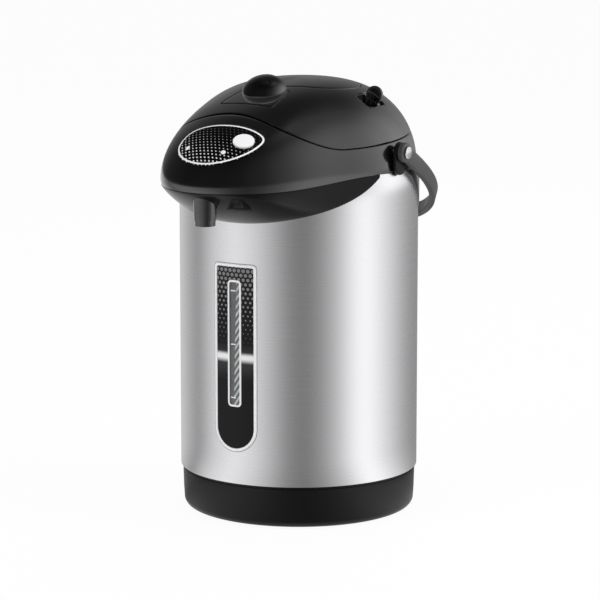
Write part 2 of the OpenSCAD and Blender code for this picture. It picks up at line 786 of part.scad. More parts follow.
module rear_skirt() {
    color(gloss_black)
        intersection() {
            tube(body_r + 0.9, body_r + face, skirt_low_z - 5, body_top_z, $fn = 200);
            rotate([90, 0, 0])
                translate([0, 0, -body_r - 10])
                    linear_extrude(body_r + 10)
                        polygon([for (w = [-skirt_half : skirt_half / 16 : skirt_half])
                                     [(body_r + 0.5) * sin(w), skirt_z(w)],
                                 [body_r + 0.5, body_top_z + 1], [-body_r - 0.5, body_top_z + 1]]);
        }
}

// ---- Control panel

// Outline of the panel: angle from the front and height of a few points, joined by a smooth closed curve
panel_stops = [[19.2, 317], [17.2, 310], [11, 302.2], [2.6, 298], [-6, 300.5], [-11.8, 306.5], [-12.6, 313.5],
               [-9.5, 320], [-2, 325.2], [7, 325.6], [14.5, 322.2]];
panel_mid = [3, 312.5];
function ring_smooth(p, n) = n == 0 ? p : let (m = len(p)) ring_smooth([
    for (i = [0 : m - 1]) each [mix(p[i], p[(i + 1) % m], 0.25), mix(p[i], p[(i + 1) % m], 0.75)]], n - 1);

module control_panel() {
    edge = ring_smooth(panel_stops, 1);
    m = len(edge);
    function at(k, j, t) =
        let (q = mix(panel_mid, edge[m - 1 - j], k)) head_pt(q[0], u_at(q[0], q[1], t), t);
    color([0.02, 0.02, 0.02])
        difference() {
            capped_skin([
                for (k = [0.01, 0.34, 0.67, 1]) [for (j = [0 : m - 1]) at(k, j, -0.3)],
                for (k = [1, 0.67, 0.34, 0.01]) [for (j = [0 : m - 1]) at(k, j, -1)]]);
            button_hole();
        }
}

board_gap = 8.5;

module dispense_button() {
    color([0.93, 0.93, 0.93])
        on_head(button_a, button_z) {
            translate([0, 0, -3.2]) linear_extrude(5.2) oval(button_rx, button_ry);
            translate([0, 0, -board_gap + 3.4]) cylinder(r = 2.5, h = board_gap - 6, $fn = 32);
        }
}

lamp_stops = [[-6.9, 308.5], [6.9, 307.5]];

module lamp_lenses() {
    color([0.9, 0.9, 0.88])
        for (q = lamp_stops)
            on_head(q[0], q[1]) translate([0, 0, 1 + face]) cylinder(r = 2, h = 0.6, $fn = 32);
}

module panel_board() {
    color([0.12, 0.35, 0.2])
        on_head(button_a, button_z) {
            translate([-22, -13, -board_gap - 1.6]) cube([34, 22, 1.6]);
            for (x = [-18, 8])
                translate([x, -9, -board_gap - eps]) cylinder(r = 2, h = 3, $fn = 32);
        }
}

module button_switch() {
    color([0.2, 0.2, 0.2])
        on_head(button_a, button_z)
            translate([-3, -3, -board_gap + face]) cube([6, 6, 1.6]);
}

// ---- Lid

function plate_edge(a, lo, hi, n, t) =
    let (m = (lo + hi) / 2, p = head_pt(a, m, t),
         d = norm([p[0] / (plate_rx + part_gap), (p[1] - plate_y) / (plate_ry + part_gap)]))
    n == 0 ? m : d > 1 ? plate_edge(a, m, hi, n - 1, t) : plate_edge(a, lo, m, n - 1, t);

function lid_row(a, k, n, t) =
    let (u0 = u_at(a, seam_z(a) + seam_gap / 2, t), u1 = plate_edge(a, 0.3, 1, 16, t))
    head_pt(a, mix(u0, u1, k / n), t);

// The gap is wider at the front, where the lever's edge swings forward as it tips
module lever_outline(grow) {
    front = lever_front + 1.4 * grow;
    polygon([[-lever_hw_front - grow, -front], [lever_hw_front + grow, -front],
             [lever_hw_rear + grow, -lever_rear + grow], [-lever_hw_rear - grow, -lever_rear + grow]]);
}

module well_outline(grow) {
    hl = well_hl + grow;
    hw = well_hw + grow;
    c = well_corner + grow;
    translate([lock_reach, plate_y - 2]) {
        translate([-hw, -hl + c]) square([2 * hw, 2 * (hl - c)]);
        translate([-hw + c, -hl]) square([2 * (hw - c), 2 * hl]);
        for (x = [c - hw, hw - c], y = [c - hl, hl - c]) translate([x, y]) circle(r = c, $fn = 48);
    }
}

module lid_shell() {
    n = 9;
    color(gloss_black)
        difference() {
            loop_skin([for (a = around)
                [for (k = [0 : n]) lid_row(a, k, n, 0), for (k = [n : -1 : 0]) lid_row(a, k, n, head_wall)]]);
            translate([0, 0, 300]) linear_extrude(80) lever_outline(part_gap);
            translate([0, 0, 300]) linear_extrude(80) well_outline(0);
            translate([-arm_hw - fit, 60, 300]) cube([2 * (arm_hw + fit), 60, arm_top_z + fit - 300]);
        }
}

flange_z = 315.5;
liner_out_r = 85.4;

module lid_liner() {
    color([0.82, 0.82, 0.8])
        difference() {
            rotate_extrude($fn = 120)
                polygon([
                    [0, liner_z], [74, liner_z], [74, body_top_z + 4.6], [liner_out_r, body_top_z + 4.6],
                    [liner_out_r, flange_z - face], [liner_out_r - 2.2, flange_z - face],
                    [liner_out_r - 2.2, body_top_z + 7],
                    [71.6, body_top_z + 7], [71.6, liner_z + 2.4], [0, liner_z + 2.4]]);
            for (w = [0 : 60 : 300])
                rotate([0, 0, w]) translate([18, 0, liner_z - 1]) cylinder(r = 2, h = 5, $fn = 32);
        }
}

module lid_seal() {
    color([0.7, 0.7, 0.68])
        tube(liner_out_r - 1, 74 + face, body_top_z + fit, body_top_z + 4.6 - face);
}

module lid_frame() {
    color(grey_part)
        difference() {
            translate([0, 0, flange_z]) cylinder(r = liner_out_r - 1.2, h = 2.2);
            translate([0, plate_y, 300]) cylinder(r = plate_rx + 1.6, h = 40);
            translate([-hook_hw - 0.8, -100, 300]) cube([2 * hook_hw + 1.6, 33, 40]);
        }
}

ring_z = flange_z + 2.2 + 0.2;

module lock_ring() {
    color([0.85, 0.85, 0.85])
        translate([0, plate_y, ring_z])
            difference() {
                union() {
                    cylinder(r = 58, h = 2.2);
                    rotate([0, 0, lock_rest]) translate([50, -5, 0]) cube([lock_reach - 48, 10, 2.2]);
                }
                translate([0, 0, -1]) cylinder(r = plate_rx + 2, h = 5);
                translate([-lever_hw_front - 12, -80, -1]) cube([2 * lever_hw_front + 24, 45, 5]);
            }
}

lock_rest = 1.7;
lock_z = head_z(lock_reach, plate_y + 2);
lid_slope = 31;

module lock_well() {
    m = 48;
    wall = 0.8;
    // Corner-rounded outline: each quarter of the ring turns about its own corner
    function ring(grow, j) =
        let (w = 360 * (j + 0.5) / m, c = well_corner + grow,
             x = (cos(w) > 0 ? 1 : -1) * (well_hw - well_corner), y = (sin(w) > 0 ? 1 : -1) * (well_hl - well_corner))
        [lock_reach + x + c * cos(w), plate_y - 2 + y + c * sin(w)];
    function ring_at(grow, z) = [for (j = [0 : m - 1]) let (p = ring(grow, j)) [p[0], p[1], z]];
    function ring_top(grow) =
        [for (j = [0 : m - 1]) let (p = ring(grow, j)) [p[0], p[1], head_z(p[0], p[1]) - 0.3]];
    color(gloss_black)
        difference() {
            capped_skin([ring_at(-0.2, well_floor - 1.2), ring_top(-0.2),
                         ring_top(-0.2 - wall), ring_at(-0.2 - wall, well_floor)]);
            translate([lock_reach - 3, plate_y - 13, well_floor - 5]) cube([6, 22, 10]);
        }
}

module lock_lever() {
    lean = [sin(lid_slope), 0, cos(lid_slope)];
    hw = well_hw - 1.9;
    color(gloss_black)
        translate([0, plate_y, 0])
            rotate([0, 0, lock_rest])
                translate([lock_reach, 0, 0]) {
                    translate(3.3 * lean + [0, lock_t / 2, lock_z])
                        rotate([90, 0, 0]) cylinder(r = lock_r, h = lock_t, $fn = 64);
                    intersection() {
                        translate([0, 0, lock_z - 1])
                            rotate([0, lid_slope, 0]) translate([-20, -20, -20]) cube([40, 40, 20]);
                        translate([-hw, -2.4, well_floor + 0.4]) cube([2 * hw, 4.8, 30]);
                    }
                    translate([-1.5, -2.5, ring_z + 2.2 + face]) cube([3, 5, 12]);
                }
}

// Rings of the push plate's crown, from its middle to its edge
module push_plate() {
    m = 72;
    function at(k, j, drop) =
        let (w = 360 * j / m, x = k * plate_rx * cos(w), y = plate_y + k * plate_ry * sin(w)) [x, y, head_z(x, y) - drop];
    ks = [0.02, 0.25, 0.5, 0.75, 0.92, 1];
    color(gloss_black)
        capped_skin([
            for (k = ks) [for (j = [0 : m - 1]) at(k, m - 1 - j, 0)],
            for (i = [len(ks) - 1 : -1 : 0]) [for (j = [0 : m - 1]) at(ks[i] * 0.999, m - 1 - j, 3)]]);
}

plunger_z = 333;

module plunger() {
    color(grey_part)
        translate([0, plate_y, 0])
            rotate_extrude()
                polygon([[0, plunger_z], [bellows_r + 1, plunger_z], [bellows_r + 1, plunger_z + 3],
                         [16, plunger_z + 5], [16, head_z(0, plate_y - 16) - 3.2],
                         [0, head_z(0, plate_y) - 3.2]]);
}

bellows_z0 = liner_z + 2.4 + face;
bellows_h = plunger_z - face - bellows_z0;

module bellows() {
    n = bellows_folds;
    step = (bellows_h - 4) / n;
    wall = 1.6;
    depth = 6;
    color([0.3, 0.3, 0.3])
        translate([0, plate_y, bellows_z0])
            rotate_extrude()
                polygon([
                    [0, bellows_h - 2 + 0], [bellows_r - depth - wall, bellows_h - 2],
                    for (i = [n : -1 : 1]) each [
                        [bellows_r - depth - wall, 2 + step * i], [bellows_r - wall, 2 + step * (i - 0.5)]],
                    [bellows_r - depth - wall, 2], [12, 2], [12, 0], [bellows_r - depth, 0],
                    for (i = [1 : n]) each [
                        [bellows_r - depth, 2 + step * (i - 1)], [bellows_r, 2 + step * (i - 0.5)]],
                    [bellows_r - depth, 2 + step * n], [bellows_r - depth, bellows_h], [0, bellows_h]]);
}

spring_wire = 0.8;
spring_turns = 8;
spring_r = 20;

module bellows_spring() {
    z0 = bellows_z0 + 2 + spring_wire + face;
    rise = bellows_h - 4 - 2 * spring_wire - 2 * face;
    steps = spring_turns * 16;
    color(steel)
        translate([0, plate_y, z0])
            capped_skin([for (i = [0 : steps])
                let (w = 360 * i / 16, z = rise * i / steps)
                [for (k = [0 : 5])
                    let (v = -60 * k, r = spring_r + spring_wire * cos(v))
                    [r * cos(w), r * sin(w), z + spring_wire * sin(v)]]]);
}

module check_valve() {
    color([0.8, 0.8, 0.78])
        translate([0, plate_y, liner_z + 2.4 + face]) cylinder(r = 10, h = 1.2);
}

// ---- Lid lever

pin_z = head_z(0, -lever_pin_y) - lever_pin_depth;
ear_x = 12;
ear_w = 3;
hook_hw = 10.2;
hook_x = 6.4;

module lid_lever() {
    n = 10;
    c = [[-lever_hw_front, -lever_front], [lever_hw_front, -lever_front],
         [lever_hw_rear, -lever_rear], [-lever_hw_rear, -lever_rear]];
    edge = [for (s = [0 : 3], i = [0 : n - 1]) mix(c[s], c[(s + 1) % 4], i / n)];
    m = len(edge);
    mid = [0, -(lever_front + lever_rear) / 2];
    function at(k, j, drop) = let (q = mix(mid, edge[j], k)) [q[0], q[1], head_z(q[0], q[1]) - drop];
    knob_y = -lever_rear - 5.5;
    flat_y = knob_y + 4.8;
    knob_z = head_z(0, knob_y);
    knob_lean = atan((head_z(0, flat_y) - head_z(0, knob_y - knob_r)) / (flat_y - knob_y + knob_r));
    color(gloss_black)
        difference() {
            union() {
                capped_skin([
                    for (k = [0.01, 0.33, 0.67, 1]) [for (j = [0 : m - 1]) at(k, m - 1 - j, 0)],
                    for (k = [1, 0.67, 0.33, 0.01]) [for (j = [0 : m - 1]) at(k, m - 1 - j, 3)]]);
                difference() {
                    translate([0, knob_y, knob_z])
                        rotate([knob_lean, 0, 0])
                            rotate_extrude($fn = 64)
                                polygon([[0, -1.7], [knob_r, -1.7],
                                         for (w = [0 : 7.5 : 90]) [knob_r * cos(w), knob_rise * sin(w)]]);
                    translate([-30, flat_y, 300]) cube([60, 40, 80]);
                }
                translate([-ear_x + 0.4, -lever_pin_y, pin_z])
                    rotate([0, 90, 0]) cylinder(r = 2.6, h = 2 * ear_x - 0.8, $fn = 48);
            }
            translate([-60, -lever_pin_y, pin_z])
                rotate([0, 90, 0]) cylinder(r = lever_pin_r + run, h = 120, $fn = 48);
            for (x = [-ear_x - ear_w - 0.4, -coil_hw, ear_x - 0.4])
                translate([x, -lever_pin_y - 3, pin_z - 6])
                    cube([x == -coil_hw ? 2 * coil_hw : ear_w + 0.8, 6, 6 + ear_r + 0.5]);
        }
}

ear_r = 2;
coil_hw = 5.6;
knob_rise = 12.8;

module lever_pin() {
    color(steel)
        translate([-ear_x - ear_w, -lever_pin_y, pin_z])
            rotate([0, 90, 0]) cylinder(r = lever_pin_r, h = 2 * (ear_x + ear_w), $fn = 48);
}

module lever_mount() {
    foot = flange_z + 2.2 + face;
    color(grey_part)
        difference() {
            for (s = [-1, 1])
                translate([s > 0 ? ear_x : -ear_x - ear_w, 0, 0]) {
                    translate([0, -lever_pin_y - ear_r, foot]) cube([ear_w, 2 * ear_r, pin_z - foot]);
                    translate([0, -lever_pin_y, pin_z]) rotate([0, 90, 0]) cylinder(r = ear_r, h = ear_w, $fn = 48);
                }
            translate([-30, -lever_pin_y, pin_z])
                rotate([0, 90, 0]) cylinder(r = lever_pin_r + run, h = 60, $fn = 48);
        }
}

// Coil round the lever's pin
module lever_spring() {
    wire = 0.35;
    r = lever_pin_r + wire + 0.15;
    turns = 6;
    steps = 10;
    rise = 2 * (coil_hw - wire - 0.4);
    color(steel)
        translate([-rise / 2, -lever_pin_y, pin_z])
            rotate([0, 90, 0])
                capped_skin([for (i = [0 : turns * steps])
                    let (w = 360 * i / steps)
                    [for (k = [0 : 4])
                        let (v = -72 * k, q = r + wire * cos(v))
                        [q * cos(w), q * sin(w), rise * i / (turns * steps) + wire * sin(v)]]]);
}

hook_z = 322;
keeper_y = 88.8;

// Tongue that the lever draws back from the keeper
module latch_hook() {
    top = pin_z - 2.6 - face;
    color(grey_part) {
        for (x = [-hook_hw, hook_x])
            translate([x, -lever_pin_y - 1.5, hook_z]) cube([hook_hw - hook_x, 4, top - hook_z]);
        translate([-hook_hw, -keeper_y + 0.4, hook_z]) cube([2 * hook_hw, keeper_y - lever_pin_y + 2.1, 3]);
    }
}

module latch_keeper() {
    color(grey_part)
        translate([-hook_hw, -94, hook_z - 3]) cube([2 * hook_hw, 94 - keeper_y, 12.5]);
}

// ---- Lid hinge

hinge_hw = 24;
arm_hw = 9.6;
arm_top_z = 318;
knuckle_r = 4.5;

module hinge_bracket() {
    color(gloss_black)
        difference() {
            union() {
                intersection() {
                    translate([-hinge_hw, 88.2, body_top_z + face])
                        cube([2 * hinge_hw, 20, hinge_z - body_top_z - face]);
                    translate([0, belt_y, 0]) cylinder(r = head_r - 0.4, h = 400, $fn = 200);
                }
                for (s = [-1, 1])
                    translate([s > 0 ? arm_hw + fit : -hinge_hw, 0, 0]) {
                        translate([0, hinge_y, hinge_z])
                            rotate([0, 90, 0]) cylinder(r = knuckle_r, h = hinge_hw - arm_hw - fit, $fn = 64);
                        translate([0, 90, hinge_z - 12])
                            cube([hinge_hw - arm_hw - fit, hinge_y + knuckle_r - 90, 12]);
                    }
            }
            translate([-40, hinge_y, hinge_z]) rotate([0, 90, 0]) cylinder(r = hinge_pin_r + run, h = 80, $fn = 64);
            translate([-arm_hw - fit, hinge_y, hinge_z])
                rotate([0, 90, 0]) cylinder(r = knuckle_r + 0.6, h = 2 * (arm_hw + fit), $fn = 64);
        }
}

module hinge_pin() {
    color(steel)
        translate([-hinge_hw, hinge_y, hinge_z])
            rotate([0, 90, 0]) cylinder(r = hinge_pin_r, h = 2 * hinge_hw, $fn = 64);
}

module lid_hinge_arm() {
    y0 = liner_out_r + face;
    color(gloss_black)
        difference() {
            union() {
                translate([-arm_hw, hinge_y, hinge_z])
                    rotate([0, 90, 0]) cylinder(r = knuckle_r, h = 2 * arm_hw, $fn = 64);
                translate([-arm_hw, y0, hinge_z + fit])
                    cube([2 * arm_hw, hinge_y + knuckle_r - y0 - eps, arm_top_z - hinge_z - fit]);
            }
            translate([-40, hinge_y, hinge_z]) rotate([0, 90, 0]) cylinder(r = hinge_pin_r + run, h = 80, $fn = 64);
            translate([-20, hinge_y + knuckle_r, arm_top_z])
                rotate([0, 90, 0]) cylinder(r = 5, h = 40, $fn = 64);
        }
}

// ---- Handle

function bail_pt(t, out, up) =
    let (x = handle_hw * pow(max(0, cos(t)), 1.18), s = handle_l * pow(max(0, sin(t)), 0.84),
         dx = -handle_hw * 1.18 * sin(t) * pow(max(0.0001, cos(t)), 0.18),
         ds = handle_l * 0.84 * cos(t) * pow(max(0.0001, sin(t)), -0.16),
         n = unit([ds, -dx]), px = x + out * n[0], ps = s + out * n[1])
    [px, pivot_y + ps * cos(handle_tilt) + up * sin(handle_tilt),
     pivot_z - ps * sin(handle_tilt) + up * cos(handle_tilt)];

function mirrored(p) = [-p[0], p[1], p[2]];
bail_t = [0.8, 2, 4, 7, 11, 16, 22, 29, 36, 43, 50, 57, 64, 71, 78, 84, 90];

module handle() {
    h = strap_t / 2;
    w = strap_w / 2;
    function section(t) = [bail_pt(t, h, w), bail_pt(t, h, -w), bail_pt(t, -h, -w), bail_pt(t, -h, w)];
    rings = [for (t = bail_t) section(t),
             for (i = [len(bail_t) - 2 : -1 : 0]) [for (p = section(bail_t[i])) mirrored(p)]];
    color(handle_color)
        difference() {
            union() {
                capped_skin(rings);
                for (s = [-1, 1])
                    translate([s * handle_hw - strap_t / 2, pivot_y, pivot_z])
                        rotate([0, 90, 0]) cylinder(r = hub_r, h = strap_t, $fn = 64);
            }
            pivot_bores();
        }
}

bracket_out = handle_hw - strap_t / 2 - 0.5;
bracket_in = body_r + face;

module handle_brackets() {
    r = hub_r + 0.2;
    color(satin_black)
        for (s = [-1, 1])
            difference() {
                translate([s > 0 ? bracket_in : -bracket_out, pivot_y, 0]) {
                    translate([0, 0, pivot_z]) rotate([0, 90, 0]) cylinder(r = r, h = bracket_out - bracket_in, $fn = 64);
                    translate([0, 0, pivot_z - 10]) rotate([0, 90, 0]) cylinder(r = r, h = bracket_out - bracket_in, $fn = 64);
                    translate([0, -r, pivot_z - 10]) cube([bracket_out - bracket_in, 2 * r, 10]);
                }
                pivot_bores();
            }
}

module handle_screws() {
    inner = head_r - 6.4;
    outer = handle_hw + strap_t / 2 + fit;
    color(steel)
        for (s = [-1, 1])
            translate([0, pivot_y, pivot_z]) {
                translate([s > 0 ? inner : -outer, 0, 0])
                    rotate([0, 90, 0]) cylinder(r = pivot_r, h = outer - inner, $fn = 64);
                translate([s > 0 ? outer - eps : -outer - 1.5, 0, 0])
                    rotate([0, 90, 0]) cylinder(r = 5, h = 1.5 + eps, $fn = 64);
                translate([s > 0 ? inner - 2 : -inner - eps, 0, 0])
                    rotate([0, 90, 0]) cylinder(r = 4.5, h = 2 + eps, $fn = 64);
            }
}

base_ring();
base_plate();
base_feet();
base_screws();
chassis();
power_inlet();
inlet_pins();
control_board();
board_parts();
pump_motor();
pump_housing();
pump_impeller();
heater_plate();
thermostat();
thermal_fuse();
inner_pot();
lower_hose();
sight_tube();
upper_hose();
steel_body();
gauge_frame();
gauge_panel();
gauge_window();
mouth_ring();
pot_seal();
collar();
beak_tray();
nozzle();
rear_skirt();
control_panel();
dispense_button();
lamp_lenses();
panel_board();
button_switch();
hinge_bracket();
hinge_pin();
lid_hinge_arm();
lid_shell();
lid_liner();
lid_seal();
lid_frame();
push_plate();
plunger();
bellows();
bellows_spring();
check_valve();
lid_lever();
lever_pin();
lever_mount();
lever_spring();
latch_hook();
latch_keeper();
lock_well();
lock_lever();
lock_ring();
handle();
handle_brackets();
handle_screws();
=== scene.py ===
import json

import bmesh
import bpy
import numpy as np
from mathutils import Matrix, Vector

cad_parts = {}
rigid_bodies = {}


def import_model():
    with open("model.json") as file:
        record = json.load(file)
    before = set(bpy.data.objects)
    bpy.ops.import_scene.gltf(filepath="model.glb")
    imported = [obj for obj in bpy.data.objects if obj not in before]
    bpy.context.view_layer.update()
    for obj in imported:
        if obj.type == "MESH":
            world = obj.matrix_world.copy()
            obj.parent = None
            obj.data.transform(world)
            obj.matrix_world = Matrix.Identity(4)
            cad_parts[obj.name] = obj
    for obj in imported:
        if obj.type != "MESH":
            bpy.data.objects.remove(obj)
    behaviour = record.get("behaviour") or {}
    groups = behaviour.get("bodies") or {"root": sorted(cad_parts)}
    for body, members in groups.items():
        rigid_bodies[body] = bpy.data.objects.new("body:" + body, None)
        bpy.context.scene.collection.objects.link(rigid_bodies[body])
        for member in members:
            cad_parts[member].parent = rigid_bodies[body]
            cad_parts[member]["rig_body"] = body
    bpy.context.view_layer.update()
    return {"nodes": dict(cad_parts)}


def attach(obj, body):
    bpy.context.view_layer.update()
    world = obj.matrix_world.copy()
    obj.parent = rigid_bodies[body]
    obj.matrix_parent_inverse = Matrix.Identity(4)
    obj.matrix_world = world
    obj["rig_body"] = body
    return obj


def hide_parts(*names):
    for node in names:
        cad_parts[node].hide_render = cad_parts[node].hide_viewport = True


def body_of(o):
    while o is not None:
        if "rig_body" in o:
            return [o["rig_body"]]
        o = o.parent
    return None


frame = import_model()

CAD = frame["nodes"]
MM = 0.001

# Sizes of the pot, in millimetres and degrees. The spout points along -Y and the pot stands on Z = 0.
# _A is an angle round the pot from the front; _HW and _HL are half a width and half a length.

# Body, base and gauge
BODY_R, BODY_WALL = 97.5, 0.8
BODY_BOTTOM, BODY_TOP = 35.4, 284.0
SLOT_BOTTOM, SLOT_TOP, SLOT_A = 81.5, 209.0, 10.6
BASE_R, BASE_WALL_R, BASE_LEDGE_R, BASE_LIFT, BASE_ROUND = 95.8, 92.0, 86.0, 1.2, 6.2
BASE_SPIGOT_R, INLET_HW, INLET_BOTTOM, INLET_TOP = 96.3, 12.3, 14.7, 29.3
GAUGE_W, GAUGE_BOTTOM, GAUGE_TOP, GAUGE_PROUD = 39.0, 62.0, 214.0, 0.9
WINDOW_W, WINDOW_BOTTOM, WINDOW_TOP = 10.5, 99.5, 200.0
TICK_Z, TICK_STEP, TICK_SIZE = 106.0, 43.25, (4.6, 0.14, 1.0)
POT_MARK_Y, POT_MARK_Z, POT_MARK_STEP, POT_MARK_SIZE = 88.35, 90.0, 28.0, (9, 0.5, 0.9)

# Head: its surface, the collar's rim, the beak's underside and the seam of the lid
HEAD_R, BEAK_REACH, BEAK_SPREAD, BEAK_TAPER, BEAK_TUCK = 97.2, 152.5, 84.0, 2.36, 1.2
BELT_FRONT, BELT_SIDE, DOME_TOP = 281.0, 285.0, 354.3
CROWN_FRONT, CROWN_SIDE, CROWN_RISE = 1.72, 2.66, 1.93
BELT_Y, TOP_Y, LEAN_BACK, HEAD_WALL = -2.5, 4.6, 1.5, 2.5
RIM_FRONT, RIM_FROM, RIM_TO, RIM_ROUND = 276.8, 15.0, 80.0, 0.6
CHIN, CHIN_BOW, CHIN_LIFT, CHIN_LIFT_A, CHIN_END = 246.8, 0.0052, 7.0, 75.0, 74.0
TRAY_WALL, TRAY_CURL_SIDE, TRAY_CURL_FRONT = 2.5, 1.4, 1.15
SEAM_FRONT, SEAM_DIP, SEAM_REAR, SEAM_AT, SEAM_RUN, SEAM_BEND = 333.0, 305.8, 311.0, 55.0, 70.0, 2.2
SEAM_GAP, SEAM_ROUND = 0.6, 0.8
NOZZLE_Y, NOZZLE_Z, NOZZLE_BORE_R, NOZZLE_HOLE_R = 139.0, 249.7, 6.0, 9.5
HINGE_HW, ARM_HW, ARM_TOP, FIT = 24.0, 9.6, 318.0, 0.3

# Lid: push plate, release lever with its knob and pin, lock in its recess
PLATE_RX, PLATE_RY, PLATE_Y, PLATE_T, GAP = 50.0, 42.0, 4.0, 3.0, 0.7
LEVER_FRONT, LEVER_REAR, LEVER_HW_FRONT, LEVER_HW_REAR = 80.0, 46.0, 25.0, 20.0
KNOB_R, KNOB_RISE, KNOB_SINK, KNOB_Y, KNOB_FLAT = 18.2, 12.75, 1.7, -51.5, -46.7
PIN_Y, PIN_DROP, BARREL_X, BARREL_HW, BARREL_R = -76.0, 4.6, 8.6, 2.808, 2.6
LOCK_REACH, WELL_HL, WELL_HW, WELL_CORNER, WELL_FLOOR = 66.0, 13.5, 7.6, 4.0, 330.0
LOCK_R, LOCK_T, LOCK_LIFT, LOCK_REST, LID_SLOPE = 7.3, 3.5, 3.3, 1.7, 31.0

# Control panel; each stop is an (angle, height) on the head
BUTTON_RX, BUTTON_RY, BUTTON_A, BUTTON_Z = 8.5, 7.2, 12.0, 315.5
BUTTON_SINK, BUTTON_RISE, BUTTON_ROUND, BUTTON_STEM_R = 3.2, 1.7, 0.7, 2.5
PANEL_T, PANEL_ROUND, LINE_FROM, LINE_TO, LINE_RISE = 1.0, 0.5, 0.8, 2.1, 0.06
PANEL_STOPS = [(20.2, 317.3), (17.8, 310), (11.2, 302.2), (2.6, 297.8), (-6.4, 299.8), (-12.2, 306),
               (-13.4, 313.5), (-11.2, 321.6), (-3.4, 326.6), (7, 327), (15.2, 323.6)]
PANEL_MID = (3.0, 312.5)
LAMP_STOPS = [(-6.9, 308.5), (6.9, 307.5)]

# Handle
PIVOT_Y, PIVOT_Z, PIVOT_R = -8.0, 300.0, 3.0
HANDLE_HW, HANDLE_L, HANDLE_TILT, STRAP_W, STRAP_T, HUB_R = 103.4, 157.0, 28.0, 13.0, 5.0, 8.0
HANDLE_BOW, HANDLE_END = 1.18, 0.84

# Camera
CAMERA_AZIMUTH, CAMERA_ELEVATION, CAMERA_DISTANCE, CAMERA_AIM_Z = 31.6, 9.9, 2400.0, 170.5
CAMERA_LENS, CAMERA_SENSOR, CAMERA_SHIFT = 175.08, 36, 1.15 / 600


# ---- The head's surface: a is the angle from the front, u runs from the widest level (0) to the top (1)

def sin_d(w):
    return np.sin(np.radians(w))


def cos_d(w):
    return np.cos(np.radians(w))


def mix(p, q, k):
    return p + (q - p) * k


def unit(v):
    v = np.asarray(v, float)
    return v / np.linalg.norm(v, axis=-1, keepdims=True)


def stack(x, y, z):
    return np.stack(np.broadcast_arrays(x, y, z), axis=-1)


def beak(a):
    """1 in the middle of the beak, 0 beyond its spread."""
    a = np.abs(np.asarray(a, float))
    return np.where(a < BEAK_SPREAD, np.maximum(cos_d(90 * a / BEAK_SPREAD), 0) ** (2 * BEAK_TAPER), 0)


def plan_r(a):
    """The head's radius at its widest level."""
    return mix(HEAD_R, BEAK_REACH, beak(a))


def belt_z(a):
    """The height of the widest level."""
    return mix(BELT_SIDE, BELT_FRONT, beak(a))


def lift(u):
    """How far up the dome u lies, as a share of its height."""
    return np.maximum(sin_d(90 * u), 0) ** (2 / CROWN_RISE)


def draw_in(a, u):
    """The radius at u as a share of the widest."""
    return np.maximum(cos_d(90 * u), 0) ** (2 / mix(CROWN_SIDE, CROWN_FRONT, beak(a)))


def mid_y(u):
    return mix(BELT_Y, TOP_Y, lift(u) ** LEAN_BACK)


def head_pt(a, u, t=0.0):
    """The point at angle a and level u, t inside the surface."""
    r = (plan_r(a) - t) * draw_in(a, u)
    return stack(r * sin_d(a), mid_y(u) - r * cos_d(a), belt_z(a) + (DOME_TOP - t - belt_z(a)) * lift(u))


def u_at(a, z, t=0.0):
    """The level at which the surface, t inside, reaches height z."""
    share = np.clip((z - belt_z(a)) / (DOME_TOP - t - belt_z(a)), 0, 1)
    return np.degrees(np.arcsin(share ** (CROWN_RISE / 2))) / 90


def on_head(a, z, h=0.0):
    """The point at angle a and height z, h above the head's surface."""
    return head_pt(a, u_at(a, z, -h), -h)


def head_z(x, y):
    """Height of the surface over points of the plan."""
    x, y = np.broadcast_arrays(np.asarray(x, float), np.asarray(y, float))
    low, high = np.zeros(x.shape), np.ones(x.shape)
    for _ in range(26):
        m = (low + high) / 2
        dy = mid_y(m) - y
        a = np.degrees(np.arctan2(x, dy))
        inside = np.hypot(x, dy) < plan_r(a) * draw_in(a, m)
        low, high = np.where(inside, m, low), np.where(inside, high, m)
    a = np.degrees(np.arctan2(x, mid_y(low) - y))
    return head_pt(a, low)[..., 2]


def ramp(a, start, end):
    """Smooth step from 0 at angle start to 1 at angle end, on both sides of the front."""
    return sin_d(90 * np.clip((np.abs(a) - start) / (end - start), 0, 1)) ** 2


def rim_z(a):
    """Height of the collar's lower edge."""
    return mix(RIM_FRONT, BODY_TOP + FIT, ramp(a, RIM_FROM, RIM_TO))


def seam_z(a):
    """Height of the lid's seam: high over the beak, lowest at SEAM_AT, a little higher behind."""
    a = np.asarray(a, float)
    front = mix(SEAM_FRONT, SEAM_DIP, np.maximum(sin_d(90 * np.abs(a) / SEAM_AT), 0) ** SEAM_BEND)
    rear = mix(SEAM_DIP, SEAM_REAR, ramp(a, SEAM_AT, SEAM_AT + SEAM_RUN))
    return np.where(np.abs(a) < SEAM_AT, front, rear)


def chin_at(a):
    """Height at which the beak's underside meets the steel."""
    return CHIN + CHIN_BOW * a * a + CHIN_LIFT * (np.abs(a) / CHIN_LIFT_A) ** 8


def steel_at(a, clear):
    """Distance from the head's middle to a circle that clears the body."""
    return BELT_Y * cos_d(a) + np.sqrt((BODY_R + clear) ** 2 - (BELT_Y * sin_d(a)) ** 2)


def local_frame(a, z):
    """Middle, right, up and outward directions of the head's surface at one point."""
    u = float(u_at(a, z))
    middle = head_pt(a, u)
    across = head_pt(a + 0.5, u) - head_pt(a - 0.5, u)
    upwards = head_pt(a, u + 0.01) - head_pt(a, u - 0.01)
    out = unit(np.cross(across, upwards))
    right = unit(np.cross([0, 0, 1], out))
    return middle, right, np.cross(out, right), out


# ---- Meshes

def placed(name, data):
    """Puts a mesh, a camera or a lamp into the scene."""
    obj = bpy.data.objects.new(name, data)
    bpy.context.scene.collection.objects.link(obj)
    return obj


